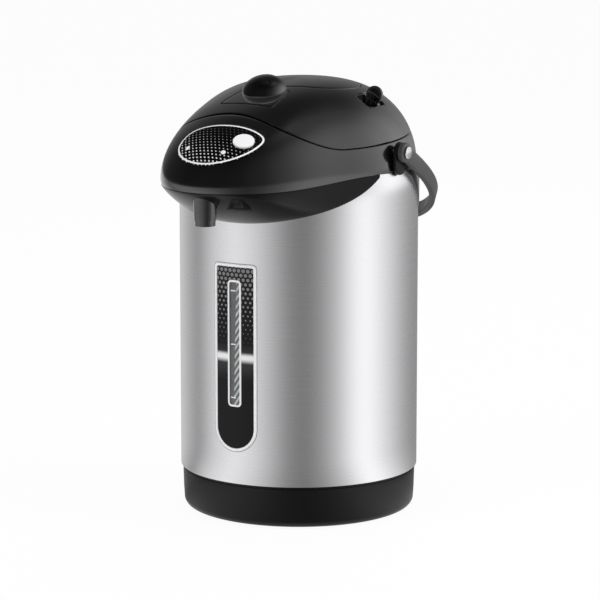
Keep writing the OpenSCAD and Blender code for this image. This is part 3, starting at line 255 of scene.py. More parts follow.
def grid_faces(n, m, wrap_rows):
    """Faces between n rows of m points, each row a closed ring."""
    faces = []
    for i in range(n if wrap_rows else n - 1):
        p, q = i * m, ((i + 1) % n) * m
        for j in range(m):
            k = (j + 1) % m
            faces.append((p + j, p + k, q + k, q + j))
    return faces


def closed_up(mesh):
    """Joins doubles and turns every face outwards."""
    work = bmesh.new()
    work.from_mesh(mesh)
    bmesh.ops.remove_doubles(work, verts=work.verts, dist=1e-7)
    bmesh.ops.recalc_face_normals(work, faces=work.faces)
    work.to_mesh(mesh)
    work.free()


def solid(name, points, faces):
    mesh = bpy.data.meshes.new(name)
    mesh.from_pydata((np.asarray(points, float).reshape(-1, 3) * MM).tolist(), [], faces)
    closed_up(mesh)
    return placed(name, mesh)


def skin(name, rows, wrap_rows=False):
    """A solid from rows of points, each a closed ring. Open ends are closed by fans to their middles."""
    rows = [np.asarray(r, float) for r in rows]
    n, m = len(rows), len(rows[0])
    points = np.concatenate(rows)
    faces = grid_faces(n, m, wrap_rows)
    if not wrap_rows:
        points = np.concatenate([points, [rows[0].mean(0)], [rows[-1].mean(0)]])
        faces += [(n * m, (j + 1) % m, j) for j in range(m)]
        faces += [(n * m + 1, (n - 1) * m + j, (n - 1) * m + (j + 1) % m) for j in range(m)]
    return solid(name, points, faces)


def lathe(name, profile, steps=96, axis="Z", centre=(0, 0, 0)):
    """Turns (radius, height) points round an axis; a profile that starts on the axis is closed there."""
    w = np.arange(steps) * 360 / steps
    rows = []
    for r, h in profile:
        ring = stack(r * cos_d(w), r * sin_d(w), np.full(steps, h))
        if axis == "X":
            ring = ring[:, [2, 0, 1]]
        if axis == "Y":
            ring = ring[:, [1, 2, 0]]
        rows.append(ring + np.asarray(centre, float))
    return skin(name, rows, wrap_rows=profile[0][0] > 0.01)


def evaluated(obj):
    """Makes the result of the modifiers the piece's own mesh."""
    graph = bpy.context.evaluated_depsgraph_get()
    graph.update()
    mesh = bpy.data.meshes.new_from_object(obj.evaluated_get(graph), depsgraph=graph)
    obj.modifiers.clear()
    obj.data = mesh
    return obj


def cut(obj, *tools):
    """Takes the tools away from a piece."""
    for tool in tools:
        step = obj.modifiers.new("cut", "BOOLEAN")
        step.operation, step.solver, step.object = "DIFFERENCE", "EXACT", tool
    evaluated(obj)
    for tool in tools:
        bpy.data.objects.remove(tool)
    return obj


def bevelled(obj, width, angle=40, segments=2):
    """Rounds the edges that are sharper than an angle."""
    step = obj.modifiers.new("edge", "BEVEL")
    step.width, step.segments, step.limit_method = width * MM, segments, "ANGLE"
    step.angle_limit = np.radians(angle)
    step.use_clamp_overlap = True
    return evaluated(obj)


def box(name, low, high):
    x, y, z = zip(low, high)
    corners = [(i, j, k) for k in z for j in y for i in x]
    faces = [(0, 2, 3, 1), (4, 5, 7, 6), (0, 1, 5, 4), (2, 6, 7, 3), (0, 4, 6, 2), (1, 3, 7, 5)]
    return solid(name, corners, faces)


def joined(name, *objects):
    work = bmesh.new()
    for o in objects:
        work.from_mesh(o.data)
        bpy.data.objects.remove(o)
    mesh = bpy.data.meshes.new(name)
    work.to_mesh(mesh)
    work.free()
    return placed(name, mesh)


def dress(obj, body, slot, finish, stands_for=(), sharp=38):
    """Gives a finished piece its material, shading and body; its slot argument is not used."""
    obj.data.materials.clear()
    obj.data.materials.append(finish)
    obj.data.polygons.foreach_set("material_index", np.zeros(len(obj.data.polygons), np.int32))
    obj.data.shade_smooth()
    obj.data.set_sharp_from_angle(angle=np.radians(sharp))
    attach(obj, body)
    if stands_for:
        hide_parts(*stands_for)
    return obj


def copy_of(node, name):
    """A merged copy of a CAD node, ready to be bevelled and shaded smooth."""
    mesh = CAD[node].data.copy()
    mesh.name = name
    work = bmesh.new()
    work.from_mesh(mesh)
    bmesh.ops.remove_doubles(work, verts=work.verts, dist=2e-6)
    bmesh.ops.dissolve_limit(work, angle_limit=0.004, verts=work.verts, edges=work.edges)
    work.to_mesh(mesh)
    work.free()
    return placed(name, mesh)


def arc(radius, segments=4):
    """(inset, depth) of the points of a rounded edge, from the wall to the face."""
    w = np.linspace(0, 90, segments + 1)
    return [(radius * (1 - cos_d(v)), radius * (1 - sin_d(v))) for v in w]


def inset(outline, d):
    """Moves a counterclockwise closed plane outline inwards by d."""
    ahead, behind = np.roll(outline, -1, 0) - outline, outline - np.roll(outline, 1, 0)
    n1 = unit(np.stack([-ahead[:, 1], ahead[:, 0]], -1))
    n2 = unit(np.stack([-behind[:, 1], behind[:, 0]], -1))
    n = unit(n1 + n2)
    return outline + n * (d / np.maximum((n * n1).sum(-1, keepdims=True), 0.3))


def rounded(corners, radius, steps=6):
    """A closed outline, counterclockwise, whose corners are rounded to a radius."""
    corners = np.asarray(corners, float)
    points = []
    for i in range(len(corners)):
        p, before, after = corners[i], corners[i - 1], corners[(i + 1) % len(corners)]
        d1, d2 = unit(before - p), unit(after - p)
        half = np.arccos(np.clip((d1 * d2).sum(), -1, 1)) / 2
        middle = p + unit(d1 + d2) * radius / np.sin(half)
        start, end = p + d1 * radius / np.tan(half) - middle, p + d2 * radius / np.tan(half) - middle
        w0, w1 = np.arctan2(start[1], start[0]), np.arctan2(end[1], end[0])
        w1 = w0 + (w1 - w0) % (2 * np.pi)
        for w in np.linspace(w0, w1, steps + 1):
            points.append(middle + radius * np.array([np.cos(w), np.sin(w)]))
    return np.array(points)


def dense(outline, step):
    """Adds points along the long sides of an outline."""
    points = []
    for p, q in zip(outline, np.roll(outline, -1, 0)):
        n = max(1, int(np.ceil(np.linalg.norm(q - p) / step)))
        points += [mix(p, q, i / n) for i in range(n)]
    return np.array(points)


def draped(name, outline, edge, depth, rows=14):
    """A cap that follows the head's surface inside an outline of the plan, with a rounded edge."""
    middle = outline.mean(0)

    def level(points, drop):
        return stack(points[:, 0], points[:, 1], head_z(points[:, 0], points[:, 1]) - drop)

    under = [level(mix(middle, outline, k), depth) for k in np.linspace(0.05, 1, 5)]
    side = [level(inset(outline, d), h) for d, h in arc(edge)]
    inner = inset(outline, edge)
    top = [level(mix(middle, inner, k), 0) for k in np.linspace(1, 0.03, rows)[1:]]
    return skin(name, under + side + top)


# ---- Materials

class Tree:
    """The nodes of a material or of the world."""

    def __init__(self, owner):
        owner.use_nodes = True
        self.nodes, self.links = owner.node_tree.nodes, owner.node_tree.links

    def node(self, kind, inputs=(), **options):
        made = self.nodes.new(kind)
        for name, value in options.items():
            setattr(made, name, value)
        for key, value in dict(inputs).items():
            if isinstance(value, bpy.types.NodeSocket):
                self.links.new(value, made.inputs[key])
            else:
                made.inputs[key].default_value = value
        return made

    def math(self, operation, *values, clamp=False):
        made = self.node("ShaderNodeMath", dict(enumerate(values)), operation=operation, use_clamp=clamp)
        return made.outputs[0]

    def between(self, value, low, high, to_low=0.0, to_high=1.0, soft=False):
        """Maps low..high to to_low..to_high and holds the ends."""
        made = self.node("ShaderNodeMapRange", {"Value": value, "From Min": low, "From Max": high,
                                                "To Min": to_low, "To Max": to_high})
        made.interpolation_type = "SMOOTHSTEP" if soft else "LINEAR"
        return made.outputs["Result"]

    def parted(self, vector):
        return self.node("ShaderNodeSeparateXYZ", {0: vector}).outputs


class Finish(Tree):
    """A material of one shader, under construction."""

    def __init__(self, name, metallic=0.0, roughness=0.5):
        self.material = bpy.data.materials.new(name)
        super().__init__(self.material)
        self.surface = self.nodes["Principled BSDF"]
        self.set(Metallic=metallic, Roughness=roughness)
        self.place = self.node("ShaderNodeTexCoord").outputs["Object"]

    def set(self, **values):
        for name, value in values.items():
            self.surface.inputs[name.replace("_", " ")].default_value = value
        return self

    def drive(self, socket, source):
        self.links.new(source, self.surface.inputs[socket])
        return self

    def noise(self, scale, detail=3.0, vector=None):
        inputs = {"Vector": vector or self.place, "Scale": scale, "Detail": detail}
        return self.node("ShaderNodeTexNoise", inputs).outputs["Fac"]

    def blend(self, factor, a, b):
        made = self.node("ShaderNodeMix", data_type="RGBA")
        for key, value in (("Factor", factor), ("A", a), ("B", b)):
            socket = [s for s in made.inputs if s.name == key and (s.type == "RGBA") == (key != "Factor")][0]
            if isinstance(value, bpy.types.NodeSocket):
                self.links.new(value, socket)
            else:
                socket.default_value = value if key == "Factor" else (*value, 1)
        return [s for s in made.outputs if s.type == "RGBA"][0]

    def bump(self, height, distance):
        made = self.node("ShaderNodeBump", {"Height": height, "Distance": distance, "Strength": 1.0})
        return self.drive("Normal", made.outputs[0])

    def mottled(self, dark, light, scale):
        """Colour that wanders between two close shades."""
        fac = self.between(self.noise(scale, 4), 0.35, 0.65)
        return self.drive("Base Color", self.blend(fac, dark, light))

    def rough_between(self, low, high, scale):
        return self.drive("Roughness", self.between(self.noise(scale, 4), 0.3, 0.7, low, high))


def grey(value):
    return (value, value, value * 1.02)


def moulded(name, dark, light, low, high, grain=900, depth=0.00002, coat=0.0, coat_rough=0.1, spec=0.5):
    """Moulded plastic: close shades, uneven gloss and a fine skin."""
    f = Finish(name)
    f.mottled(dark, light, 30).rough_between(low, high, 45)
    f.bump(f.noise(grain, 2), depth)
    f.set(Specular_IOR_Level=spec)
    if coat:
        f.set(Coat_Weight=coat, Coat_Roughness=coat_rough)
    return f.material


def steel_sheet(name, colour, low, high, streak, depth):
    """Brushed sheet metal: long streaks round the body."""
    f = Finish(name, metallic=1.0)
    lines = f.node("ShaderNodeMapping", {"Vector": f.place, "Scale": (14, 14, streak)}).outputs[0]
    fine, broad = f.noise(1.0, 3, lines), f.noise(6.0, 2)
    shade = f.math("ADD", f.math("MULTIPLY", fine, 0.7), f.math("MULTIPLY", broad, 0.3))
    f.drive("Base Color", f.blend(f.between(shade, 0.3, 0.7), tuple(c * 0.975 for c in colour), colour))
    f.drive("Roughness", f.between(fine, 0.3, 0.7, low, high))
    f.bump(fine, depth)
    return f.material


def turned_steel(name, colour, low, high):
    """Machined or stamped metal: a fine even grain."""
    f = Finish(name, metallic=1.0)
    f.mottled(tuple(c * 0.9 for c in colour), colour, 220).rough_between(low, high, 400)
    f.bump(f.noise(1400, 2), 0.00001)
    return f.material


def rubber(name, dark, light, rough=0.75):
    f = Finish(name)
    f.mottled(dark, light, 120).rough_between(rough - 0.08, rough + 0.1, 300)
    f.bump(f.noise(2500, 3), 0.00004)
    return f.material


def clear_plastic(name):
    f = Finish(name, roughness=0.06)
    f.set(Transmission_Weight=1.0, IOR=1.49)
    f.mottled((0.93, 0.95, 0.96), (0.97, 0.98, 0.98), 40).rough_between(0.04, 0.09, 60)
    return f.material


def dot_pattern(f, place, across, up, radius, staggered=True):
    """Mask of dots: across and up are the pitches of the rows, radius a socket, all in metres."""
    soft_edge = 0.00008
    places = [place]
    if staggered:
        places.append(f.node("ShaderNodeVectorMath", {0: place, 1: (across / 2, up / 2, 0)}).outputs[0])
    reach = 1.0
    for vector in places:
        window = {0: vector, 1: (across / 2, up / 2, 1), 2: (-across / 2, -up / 2, -1)}
        cell = f.node("ShaderNodeVectorMath", window, operation="WRAP").outputs[0]
        flat = f.node("ShaderNodeVectorMath", {0: cell, 1: (1, 1, 0)}, operation="MULTIPLY").outputs[0]
        length = f.node("ShaderNodeVectorMath", {0: flat}, operation="LENGTH").outputs["Value"]
        reach = f.math("MINIMUM", reach, length)
    return f.between(f.math("SUBTRACT", radius, reach), -soft_edge, soft_edge)


def gauge_print(name):
    """Black printed face of the gauge: dots that shrink downwards, and a light band that is part print and
    part painted highlight, with a faint painted glow below it.
    """
    f = Finish(name, roughness=0.3)
    x, _, z = f.parted(f.place)
    flat = f.node("ShaderNodeCombineXYZ", {0: x, 1: z}).outputs[0]
    size = f.between(z, 0.146, 0.212, 0.00012, 0.00165)
    dots = f.math("MULTIPLY", dot_pattern(f, flat, 0.0041, 0.0072, size), f.between(z, 0.1445, 0.153))
    # Painted highlight: a light band across the face, part print, with a faint painted glow fading below it;
    # both lighten the face towards white.
    highlight_band = f.math("MULTIPLY", f.between(z, 0.1335, 0.1385, soft=True),
                  f.between(z, 0.1395, 0.1435, 1, 0, soft=True))
    glow = f.math("MULTIPLY", f.between(z, 0.118, 0.136, 0, 0.035, soft=True),
                  f.between(z, 0.1395, 0.150, 1, 0))
    shade = f.blend(dots, (0.004, 0.004, 0.0045), (0.20, 0.20, 0.20))
    shade = f.blend(f.math("ADD", highlight_band, glow, clamp=True), shade, (0.84, 0.84, 0.84))
    f.drive("Base Color", shade).rough_between(0.2, 0.28, 60)
    f.bump(f.noise(700, 2), 0.000012)
    return f.set(Specular_IOR_Level=0.15).material


def panel_print(name, middle, right, up, out):
    """Black printed face of the control panel: fine dots that grow towards its lower left."""
    f = Finish(name, roughness=0.3)
    turn = Matrix([right, up, out]).transposed().to_euler()
    flat = f.node("ShaderNodeMapping", {"Vector": f.place, "Location": tuple(middle * MM), "Rotation": turn},
                  vector_type="TEXTURE").outputs[0]
    x, y, _ = f.parted(flat)
    leaning = f.math("ADD", x, f.math("MULTIPLY", y, 0.424))
    sheared = f.node("ShaderNodeCombineXYZ", {0: leaning, 1: y}).outputs[0]
    slope = f.math("ADD", f.math("MULTIPLY", x, -0.35), f.math("MULTIPLY", y, -0.95))
    size = f.between(slope, -0.016, 0.014, 0.00030, 0.00074)
    dots = f.math("MULTIPLY", dot_pattern(f, sheared, 0.00337, 0.0032, size, staggered=False),
                  f.between(slope, -0.018, 0.010, 0.25, 1.0))
    f.drive("Base Color", f.blend(dots, (0.003, 0.003, 0.0033), (0.62, 0.62, 0.62)))
    f.rough_between(0.2, 0.3, 60)
    f.bump(f.noise(700, 2), 0.000012)
    return f.set(Specular_IOR_Level=0.2).material


def sight_print(name):
    """Grey card behind the window: slanting light stripes on its right half."""
    f = Finish(name, roughness=0.4)
    x, _, z = f.parted(f.place)
    stripe_pitch = 0.0064
    rise = f.math("SUBTRACT", z, f.math("MULTIPLY", x, 1.5))
    slant = f.math("FRACT", f.math("MULTIPLY", rise, 1 / stripe_pitch))
    stripe = f.math("MULTIPLY", f.between(slant, 0.46, 0.56), f.between(slant, 1.0, 0.9))
    right_half = f.between(f.math("SUBTRACT", x, f.between(z, 0.10, 0.20, -0.0012, 0.0014)), -0.0001, 0.0001)
    edge = f.between(x, 0.0049, 0.0047)
    fac = f.math("MULTIPLY", f.math("MULTIPLY", stripe, right_half), edge)
    ground = f.blend(f.between(x, -0.005, 0.002), (0.018, 0.018, 0.019), (0.06, 0.06, 0.063))
    f.drive("Base Color", f.blend(fac, ground, (0.62, 0.62, 0.62))).rough_between(0.3, 0.45, 80)
    return f.material


# ---- Camera, floor and light

def photo_camera():
    data = bpy.data.cameras.new("camera")
    data.lens, data.sensor_width, data.shift_x = CAMERA_LENS, CAMERA_SENSOR, CAMERA_SHIFT
    data.clip_start, data.clip_end = 0.1, 100
    camera = placed("camera", data)
    az, el = CAMERA_AZIMUTH, CAMERA_ELEVATION
    back = np.array([sin_d(az) * cos_d(el), -cos_d(az) * cos_d(el), sin_d(el)])
    right = np.array([cos_d(az), sin_d(az), 0])
    up = np.cross(back, right)
    where = np.array([0, 0, CAMERA_AIM_Z]) + back * CAMERA_DISTANCE
    turn = Matrix([right, up, back]).transposed().to_4x4()
    camera.matrix_world = Matrix.Translation(Vector(where * MM)) @ turn
    bpy.context.scene.camera = camera


def light_path_white(tree):
    """1 for rays that see the backdrop itself, straight, by gloss or through glass."""
    path = tree.node("ShaderNodeLightPath").outputs
    seen = tree.math("MAXIMUM", path["Is Camera Ray"], path["Is Glossy Ray"])
    return tree.math("MAXIMUM", seen, path["Is Transmission Ray"])


def pale_floor():
    """White floor that keeps a share of its own paint, and with it the pot's shadow."""
    reach, white_share = 20000, 0.95
    corners = [(-reach, -reach, 0), (reach, -reach, 0), (reach, reach, 0), (-reach, reach, 0)]
    floor = solid("studio_floor", corners, [(0, 1, 2, 3)])
    material = bpy.data.materials.new("floor_white")
    tree = Tree(material)
    paint = tree.nodes["Principled BSDF"]
    paint.inputs["Base Color"].default_value = (0.86, 0.86, 0.86, 1)
    paint.inputs["Roughness"].default_value = 0.9
    paint.inputs["Specular IOR Level"].default_value = 0.1
    white = tree.node("ShaderNodeEmission").outputs[0]
    share = tree.math("MULTIPLY", light_path_white(tree), white_share)
    both = tree.node("ShaderNodeMixShader", {0: share, 1: paint.outputs[0], 2: white})
    tree.links.new(both.outputs[0], tree.nodes["Material Output"].inputs["Surface"])
    floor.data.materials.append(material)


# The light tent that gloss sees. Each wall is a list of (angle from the camera, brightness): soft boxes and
# dark gaps. The low wall lights the body and the high wall the head, by its horizon and by its upper part.
TENT_LOW = [(-180, 0.6), (-133, 0.75), (-112, 0.54), (-97, 0.34), (-86, 0.60), (-76, 0.84), (-54, 1.14),
            (-36, 0.92), (-22, 0.62), (-9, 0.32), (4, 0.22), (17, 0.36), (31, 0.68), (45, 1.22), (54, 1.42),
            (62, 1.36), (78, 0.99), (101, 0.56), (117, 0.39), (143, 0.30), (165, 0.42), (180, 0.6)]
TENT_HIGH = [(-180, 0.10), (-155, 0.12), (-130, 0.06), (-112, 0.03), (-60, 0.02), (-5, 0.03), (20, 0.09),
             (40, 0.26), (62, 0.60), (82, 0.80), (104, 0.66), (125, 0.30), (145, 0.14), (165, 0.10),
             (180, 0.10)]
TENT_HORIZON, TENT_UPPER, TENT_CEILING, TENT_INSIDE = 1.9, 0.42, 0.05, 0.6
TENT_PROFILE = [(0.10, 0.0004), (0.2, 0.0004), (0.3, 0.0004), (0.302, 0.3), (0.302, 0.7), (0.27, 0.9),
                (0.18, 1.03), (0.08, 1.08), (0.02, 1.09)]


def tent_wall(tree, share, stops):
    """Brightness along a wall; share runs once round the tent from straight behind the pot."""
    brightest = 2.0
    ramp = tree.node("ShaderNodeValToRGB", {0: share})
    marks = ramp.color_ramp.elements
    while len(marks) < len(stops):
        marks.new(0.5)
    for mark, (degrees, light) in zip(marks, stops):
        mark.position = (degrees + 180) / 360
        mark.color = (light / brightest, light / brightest, light / brightest, 1)
    return tree.math("MULTIPLY", ramp.outputs[0], brightest)


def fade(tree, k, low, high):
    return tree.math("ADD", tree.math("MULTIPLY", low, tree.math("SUBTRACT", 1.0, k)),
                     tree.math("MULTIPLY", high, k))


def light_tent():
    """A tent round the pot that only gloss sees, like a photographer's, with dark strips and soft boxes."""
    w = np.arange(0, 360, 5)
    points = np.concatenate([stack(r * cos_d(w), r * sin_d(w), z) for r, z in TENT_PROFILE]) / MM
    tent = solid("light_tent", points, grid_faces(len(TENT_PROFILE), len(w), False))
    for ray in ("camera", "diffuse", "shadow", "transmission", "volume_scatter"):
        setattr(tent, "visible_" + ray, False)
    material = bpy.data.materials.new("tent_cloth")
    tree = Tree(material)
    tree.nodes.clear()
    x, y, z = tree.parted(tree.node("ShaderNodeTexCoord").outputs["Object"])
    angle = tree.math("ARCTAN2", x, tree.math("MULTIPLY", y, -1.0))
    turned = tree.math("SUBTRACT", angle, float(np.radians(CAMERA_AZIMUTH)))
    share = tree.math("FRACT", tree.math("ADD", tree.math("MULTIPLY", turned, float(1 / (2 * np.pi))), 1.5))
    head_wall = tent_wall(tree, share, TENT_HIGH)
    high = fade(tree, tree.between(z, 0.36, 0.80, soft=True), tree.math("MULTIPLY", head_wall, TENT_HORIZON),
                tree.math("MULTIPLY", head_wall, TENT_UPPER))
    walls = fade(tree, tree.between(z, 0.262, 0.282, soft=True), tent_wall(tree, share, TENT_LOW), high)
    light = fade(tree, tree.between(z, 0.95, 1.08, soft=True), walls, TENT_CEILING)
    # Rays that have bounced inside the steel pot find an even light
    deep = tree.math("GREATER_THAN", tree.node("ShaderNodeLightPath").outputs["Ray Depth"], 1.5)
    light = fade(tree, deep, light, tree.math("MAXIMUM", light, TENT_INSIDE))
    glow = tree.node("ShaderNodeEmission", {"Strength": light})
    tree.node("ShaderNodeOutputMaterial", {"Surface": glow.outputs[0]})
    tent.data.materials.append(material)


def studio_world():
    """White behind the pot for the camera, gloss and glass, and soft light for everything else."""
    soft_light = 0.5
    world = bpy.data.worlds.new("studio")
    bpy.context.scene.world = world
    tree = Tree(world)
    background = tree.nodes["Background"]
    background.inputs["Color"].default_value = (1, 1, 1, 1)
    seen = light_path_white(tree)
    rest = tree.math("MULTIPLY", tree.math("SUBTRACT", 1.0, seen), soft_light)
    tree.links.new(tree.math("ADD", seen, rest), background.inputs["Strength"])


def soft_box(name, azimuth, elevation, distance, width, height, power):
    """A lamp that faces the pot; its azimuth counts from the camera. Gloss doesn't see it."""
    data = bpy.data.lights.new(name, "AREA")
    data.shape, data.size, data.size_y, data.energy = "RECTANGLE", width, height, power
    lamp = placed(name, data)
    aim, az, el = Vector((0, 0, 0.2)), azimuth + CAMERA_AZIMUTH, elevation
    where = aim + distance * Vector((sin_d(az) * cos_d(el), -cos_d(az) * cos_d(el), sin_d(el)))
    lamp.visible_glossy = False
    turn = (where - aim).to_track_quat("Z", "Y").to_matrix().to_4x4()
    lamp.matrix_world = Matrix.Translation(where) @ turn


def studio_light():
    """Four soft boxes: azimuth from the camera, elevation, distance, width, height, power."""
    bpy.context.scene.view_settings.view_transform = "Standard"
    soft_box("key_right", 74, 24, 2.2, 0.9, 1.5, 24)
    soft_box("fill_left", -50, 24, 2.3, 0.7, 1.6, 15)
    soft_box("top", 10, 82, 2.2, 1.2, 1.2, 10)
    soft_box("rear", 165, 35, 2.4, 1.2, 1.0, 9)


# ---- Head

ROUND = np.arange(-180, 180, 1.5)


def oval_rod(name, middle, right, up, out, rx, ry, low, high):
    """Oval bar along out, from low to high."""
    w = np.arange(0, 360, 7.5)
    ring = middle + np.outer(rx * cos_d(w), right) + np.outer(ry * sin_d(w), up)
    return skin(name, [ring + out * low, ring + out * high])


def button_hole():
    middle, right, up, out = local_frame(BUTTON_A, BUTTON_Z)
    return oval_rod("hole", middle, right, up, out, BUTTON_RX + GAP, BUTTON_RY + GAP, -12, 8)


def collar_foot(t, z, over):
    """Ring of the collar's lower edge, t inside it; not over the steel, it steps out to clear the body."""
    r0 = plan_r(ROUND) - t - BEAK_TUCK * beak(ROUND)
    step = np.maximum(r0, np.minimum(steel_at(ROUND, 0.15), plan_r(ROUND) - 0.3))
    r = r0 if over else np.where(rim_z(ROUND) > BODY_TOP + 0.05, r0, step)
    return stack(r * sin_d(ROUND), BELT_Y - r * cos_d(ROUND), z)


def make_collar(finish):
    """The head's lower half, with a rounded lower edge and a rounded seam."""
    a, rim, belt = ROUND, rim_z(ROUND), belt_z(ROUND)
    top = seam_z(a) - SEAM_GAP / 2
    rows = []
    for d, h in arc(RIM_ROUND)[::-1]:
        rows.append(collar_foot(d, rim + h, True))
    for s in (0.25, 0.5, 0.75):
        r = plan_r(a) - BEAK_TUCK * beak(a) * (1 - s) ** 2
        rows.append(stack(r * sin_d(a), BELT_Y - r * cos_d(a), mix(rim + RIM_ROUND, belt, s)))
    u_end = u_at(a, top - SEAM_ROUND)
    for s in np.linspace(0, 1, 34):
        rows.append(head_pt(a, u_end * s))
    for d, h in arc(SEAM_ROUND)[1:]:
        rows.append(head_pt(a, u_at(a, top - h, d), d))
    u_end = u_at(a, top, HEAD_WALL)
    for s in np.linspace(1, 0, 12):
        rows.append(head_pt(a, u_end * s, HEAD_WALL))
    step_z = np.maximum(rim + 0.05, np.minimum(BODY_TOP + 0.1, mix(rim, belt, 0.75)))
    rows += [collar_foot(HEAD_WALL, step_z + 0.1, True), collar_foot(HEAD_WALL, step_z, False),
             collar_foot(HEAD_WALL, rim, False)]
    collar = skin("collar_skin", rows, wrap_rows=True)
    bore_r = PIVOT_R + 0.05
    rod = [(0, -130), (bore_r, -130), (bore_r, 130), (0, 130)]
    bore = lathe("bore", rod, 48, "X", (0, PIVOT_Y, PIVOT_Z))
    slot = box("slot", (-HINGE_HW - FIT, 60, BODY_TOP - 10), (HINGE_HW + FIT, 120, BODY_TOP + 50))
    cut(collar, button_hole(), bore, slot)
    return dress(collar, "root", "black_gloss", finish, ["collar"])


def plate_edge(a, t, grow):
    """u of the edge round the push plate, grown outwards, on the surface t inside the head's."""
    low, high = np.full(a.shape, 0.3), np.ones(a.shape)
    for _ in range(24):
        m = (low + high) / 2
        p = head_pt(a, m, t)
        outside = np.hypot(p[:, 0] / (PLATE_RX + grow), (p[:, 1] - PLATE_Y) / (PLATE_RY + grow)) > 1
        low, high = np.where(outside, m, low), np.where(outside, high, m)
    return low


def lever_outline(grow, corner):
    """Trapezoid of the release lever, grown by its gap, which is wider where the front edge swings."""
    y0, y1 = -LEVER_FRONT - 1.4 * grow, -LEVER_REAR + grow
    return rounded([(-LEVER_HW_FRONT - grow, y0), (LEVER_HW_FRONT + grow, y0),
                    (LEVER_HW_REAR + grow, y1), (-LEVER_HW_REAR - grow, y1)], corner, 8)


def well_outline(grow):
    """Rounded rectangle of the lock's recess."""
    x, y = WELL_HW + grow, WELL_HL + grow
    corners = [(-x, -y), (x, -y), (x, y), (-x, y)]
    return rounded([(LOCK_REACH + i, PLATE_Y - 2 + j) for i, j in corners], WELL_CORNER + grow, 8)


def prism(name, outline, low, high):
    flat = [stack(outline[:, 0], outline[:, 1], np.full(len(outline), z)) for z in (low, high)]
    return skin(name, flat)


def make_lid(finish):
    """The lid's dome, with openings for the push plate, the lever, the lock and the hinge."""
    a = ROUND
    foot = seam_z(a) + SEAM_GAP / 2
    rows = [head_pt(a, u_at(a, foot + h, d), d) for d, h in arc(SEAM_ROUND)[::-1]]
    start, end = u_at(a, foot + SEAM_ROUND), plate_edge(a, 0, GAP + SEAM_ROUND)
    for s in np.linspace(0, 1, 46)[1:]:
        rows.append(head_pt(a, mix(start, end, s)))
    for d, h in arc(SEAM_ROUND)[::-1][1:]:
        rows.append(head_pt(a, plate_edge(a, h, GAP + d), h))
    start, end = plate_edge(a, HEAD_WALL, GAP), u_at(a, foot, HEAD_WALL)
    for s in np.linspace(0, 1, 14):
        rows.append(head_pt(a, mix(start, end, s), HEAD_WALL))
    lid = skin("lid_skin", rows, wrap_rows=True)
    cut(lid, prism("lever_gap", lever_outline(GAP, 4.4), 300, 380),
        prism("well_gap", well_outline(0), 300, 380),
        box("arm_gap", (-ARM_HW - FIT, 60, 300), (ARM_HW + FIT, 120, ARM_TOP + FIT)))
    bevelled(lid, 0.45, 60, 3)
    return dress(lid, "lid", "black_gloss", finish, ["lid_shell"], 30)


def tray_pt(a, v, wall):
    """Point of the beak's underside: v runs from the rim (0) to the chin on the steel (1)."""
    curl = 2 / mix(TRAY_CURL_SIDE, TRAY_CURL_FRONT, beak(a))
    rim_r = plan_r(a) - BEAK_TUCK * beak(a)
    r1 = steel_at(a, 0.1)
    t = np.minimum(wall, 0.55 * np.maximum(0.2, rim_r - r1))
    z0, z1 = rim_z(a) - 0.05, np.minimum(chin_at(a), rim_z(a) - 0.8) + t * 0.9
    f, g = 1 - np.maximum(0, cos_d(90 * v)) ** curl, sin_d(90 * v) ** curl
    r = mix(rim_r - t, r1, f)
    return stack(r * sin_d(a), BELT_Y - r * cos_d(a), mix(z0, z1, g))


def make_tray(finish):
    """The glossy underside of the beak, down to the chin on the steel."""
    a = np.linspace(-CHIN_END, CHIN_END, 99)
    v = np.linspace(0, 1, 30)
    section = [tray_pt(a, s, 0) for s in v] + [tray_pt(a, s, TRAY_WALL) for s in v[::-1]]
    tray = skin("beak_underside", list(np.stack(section).transpose(1, 0, 2)))
    hole = [(0, NOZZLE_Z), (NOZZLE_HOLE_R, NOZZLE_Z), (NOZZLE_HOLE_R, 290), (0, 290)]
    cut(tray, lathe("hole", hole, 48, centre=(0, -NOZZLE_Y, 0)))
    return dress(tray, "root", "black_gloss", finish, ["beak_tray"])


def make_nozzle(finish):
    """Spout with a rounded lip, a slightly flared wall and a flange inside the beak."""
    top, bore = RIM_FRONT + 2.7, NOZZLE_BORE_R
    lip = [(bore, 0.5), (6.3, 0.1), (6.8, 0), (7.7, 0), (8.15, 0.25), (8.3, 0.8), (8.3, 3.6), (8.6, 4.1),
           (8.8, 4.8), (9.1, 14)]
    profile = [(r, NOZZLE_Z + h) for r, h in lip]
    profile += [(9.2, top - 2.4), (12.2, top - 2), (12.2, top), (2.3, top), (2.3, NOZZLE_Z + 17),
                (bore, NOZZLE_Z + 13)]
    nozzle = lathe("nozzle_tube", profile, 72, centre=(0, -NOZZLE_Y, 0))
    return dress(nozzle, "root", "black_gloss", finish, ["nozzle"])


def make_push_plate(finish):
    """Oval plate that follows the dome."""
    w = np.arange(0, 360, 2.5)
    outline = np.stack([PLATE_RX * cos_d(w), PLATE_Y + PLATE_RY * sin_d(w)], -1)
    plate = draped("pump_plate", outline, 0.9, PLATE_T, rows=18)
    return dress(plate, "push", "black_gloss", finish, ["push_plate"])


def make_knob():
    """Half dome with a flat back, which leans with the lid's slope."""
    base, behind = float(head_z(0, KNOB_Y)), KNOB_FLAT - KNOB_Y
    climb = float(head_z(0, KNOB_FLAT)) - float(head_z(0, KNOB_Y - KNOB_R))
    lean = np.arctan(climb / (behind + KNOB_R))
    profile = [(0, -KNOB_SINK), (KNOB_R, -KNOB_SINK)]
    profile += [(KNOB_R * cos_d(w), KNOB_RISE * sin_d(w)) for w in np.arange(0, 90, 4.5)]
    knob = lathe("knob", profile + [(0.05, KNOB_RISE)], 96)
    knob.data.transform(Matrix.Translation((0, KNOB_Y * MM, base * MM)) @ Matrix.Rotation(lean, 4, "X"))
    cut(knob, box("back", (-30, KNOB_FLAT, 300), (30, KNOB_FLAT + 40, 380)))
    return bevelled(knob, 1.0, 50, 4)


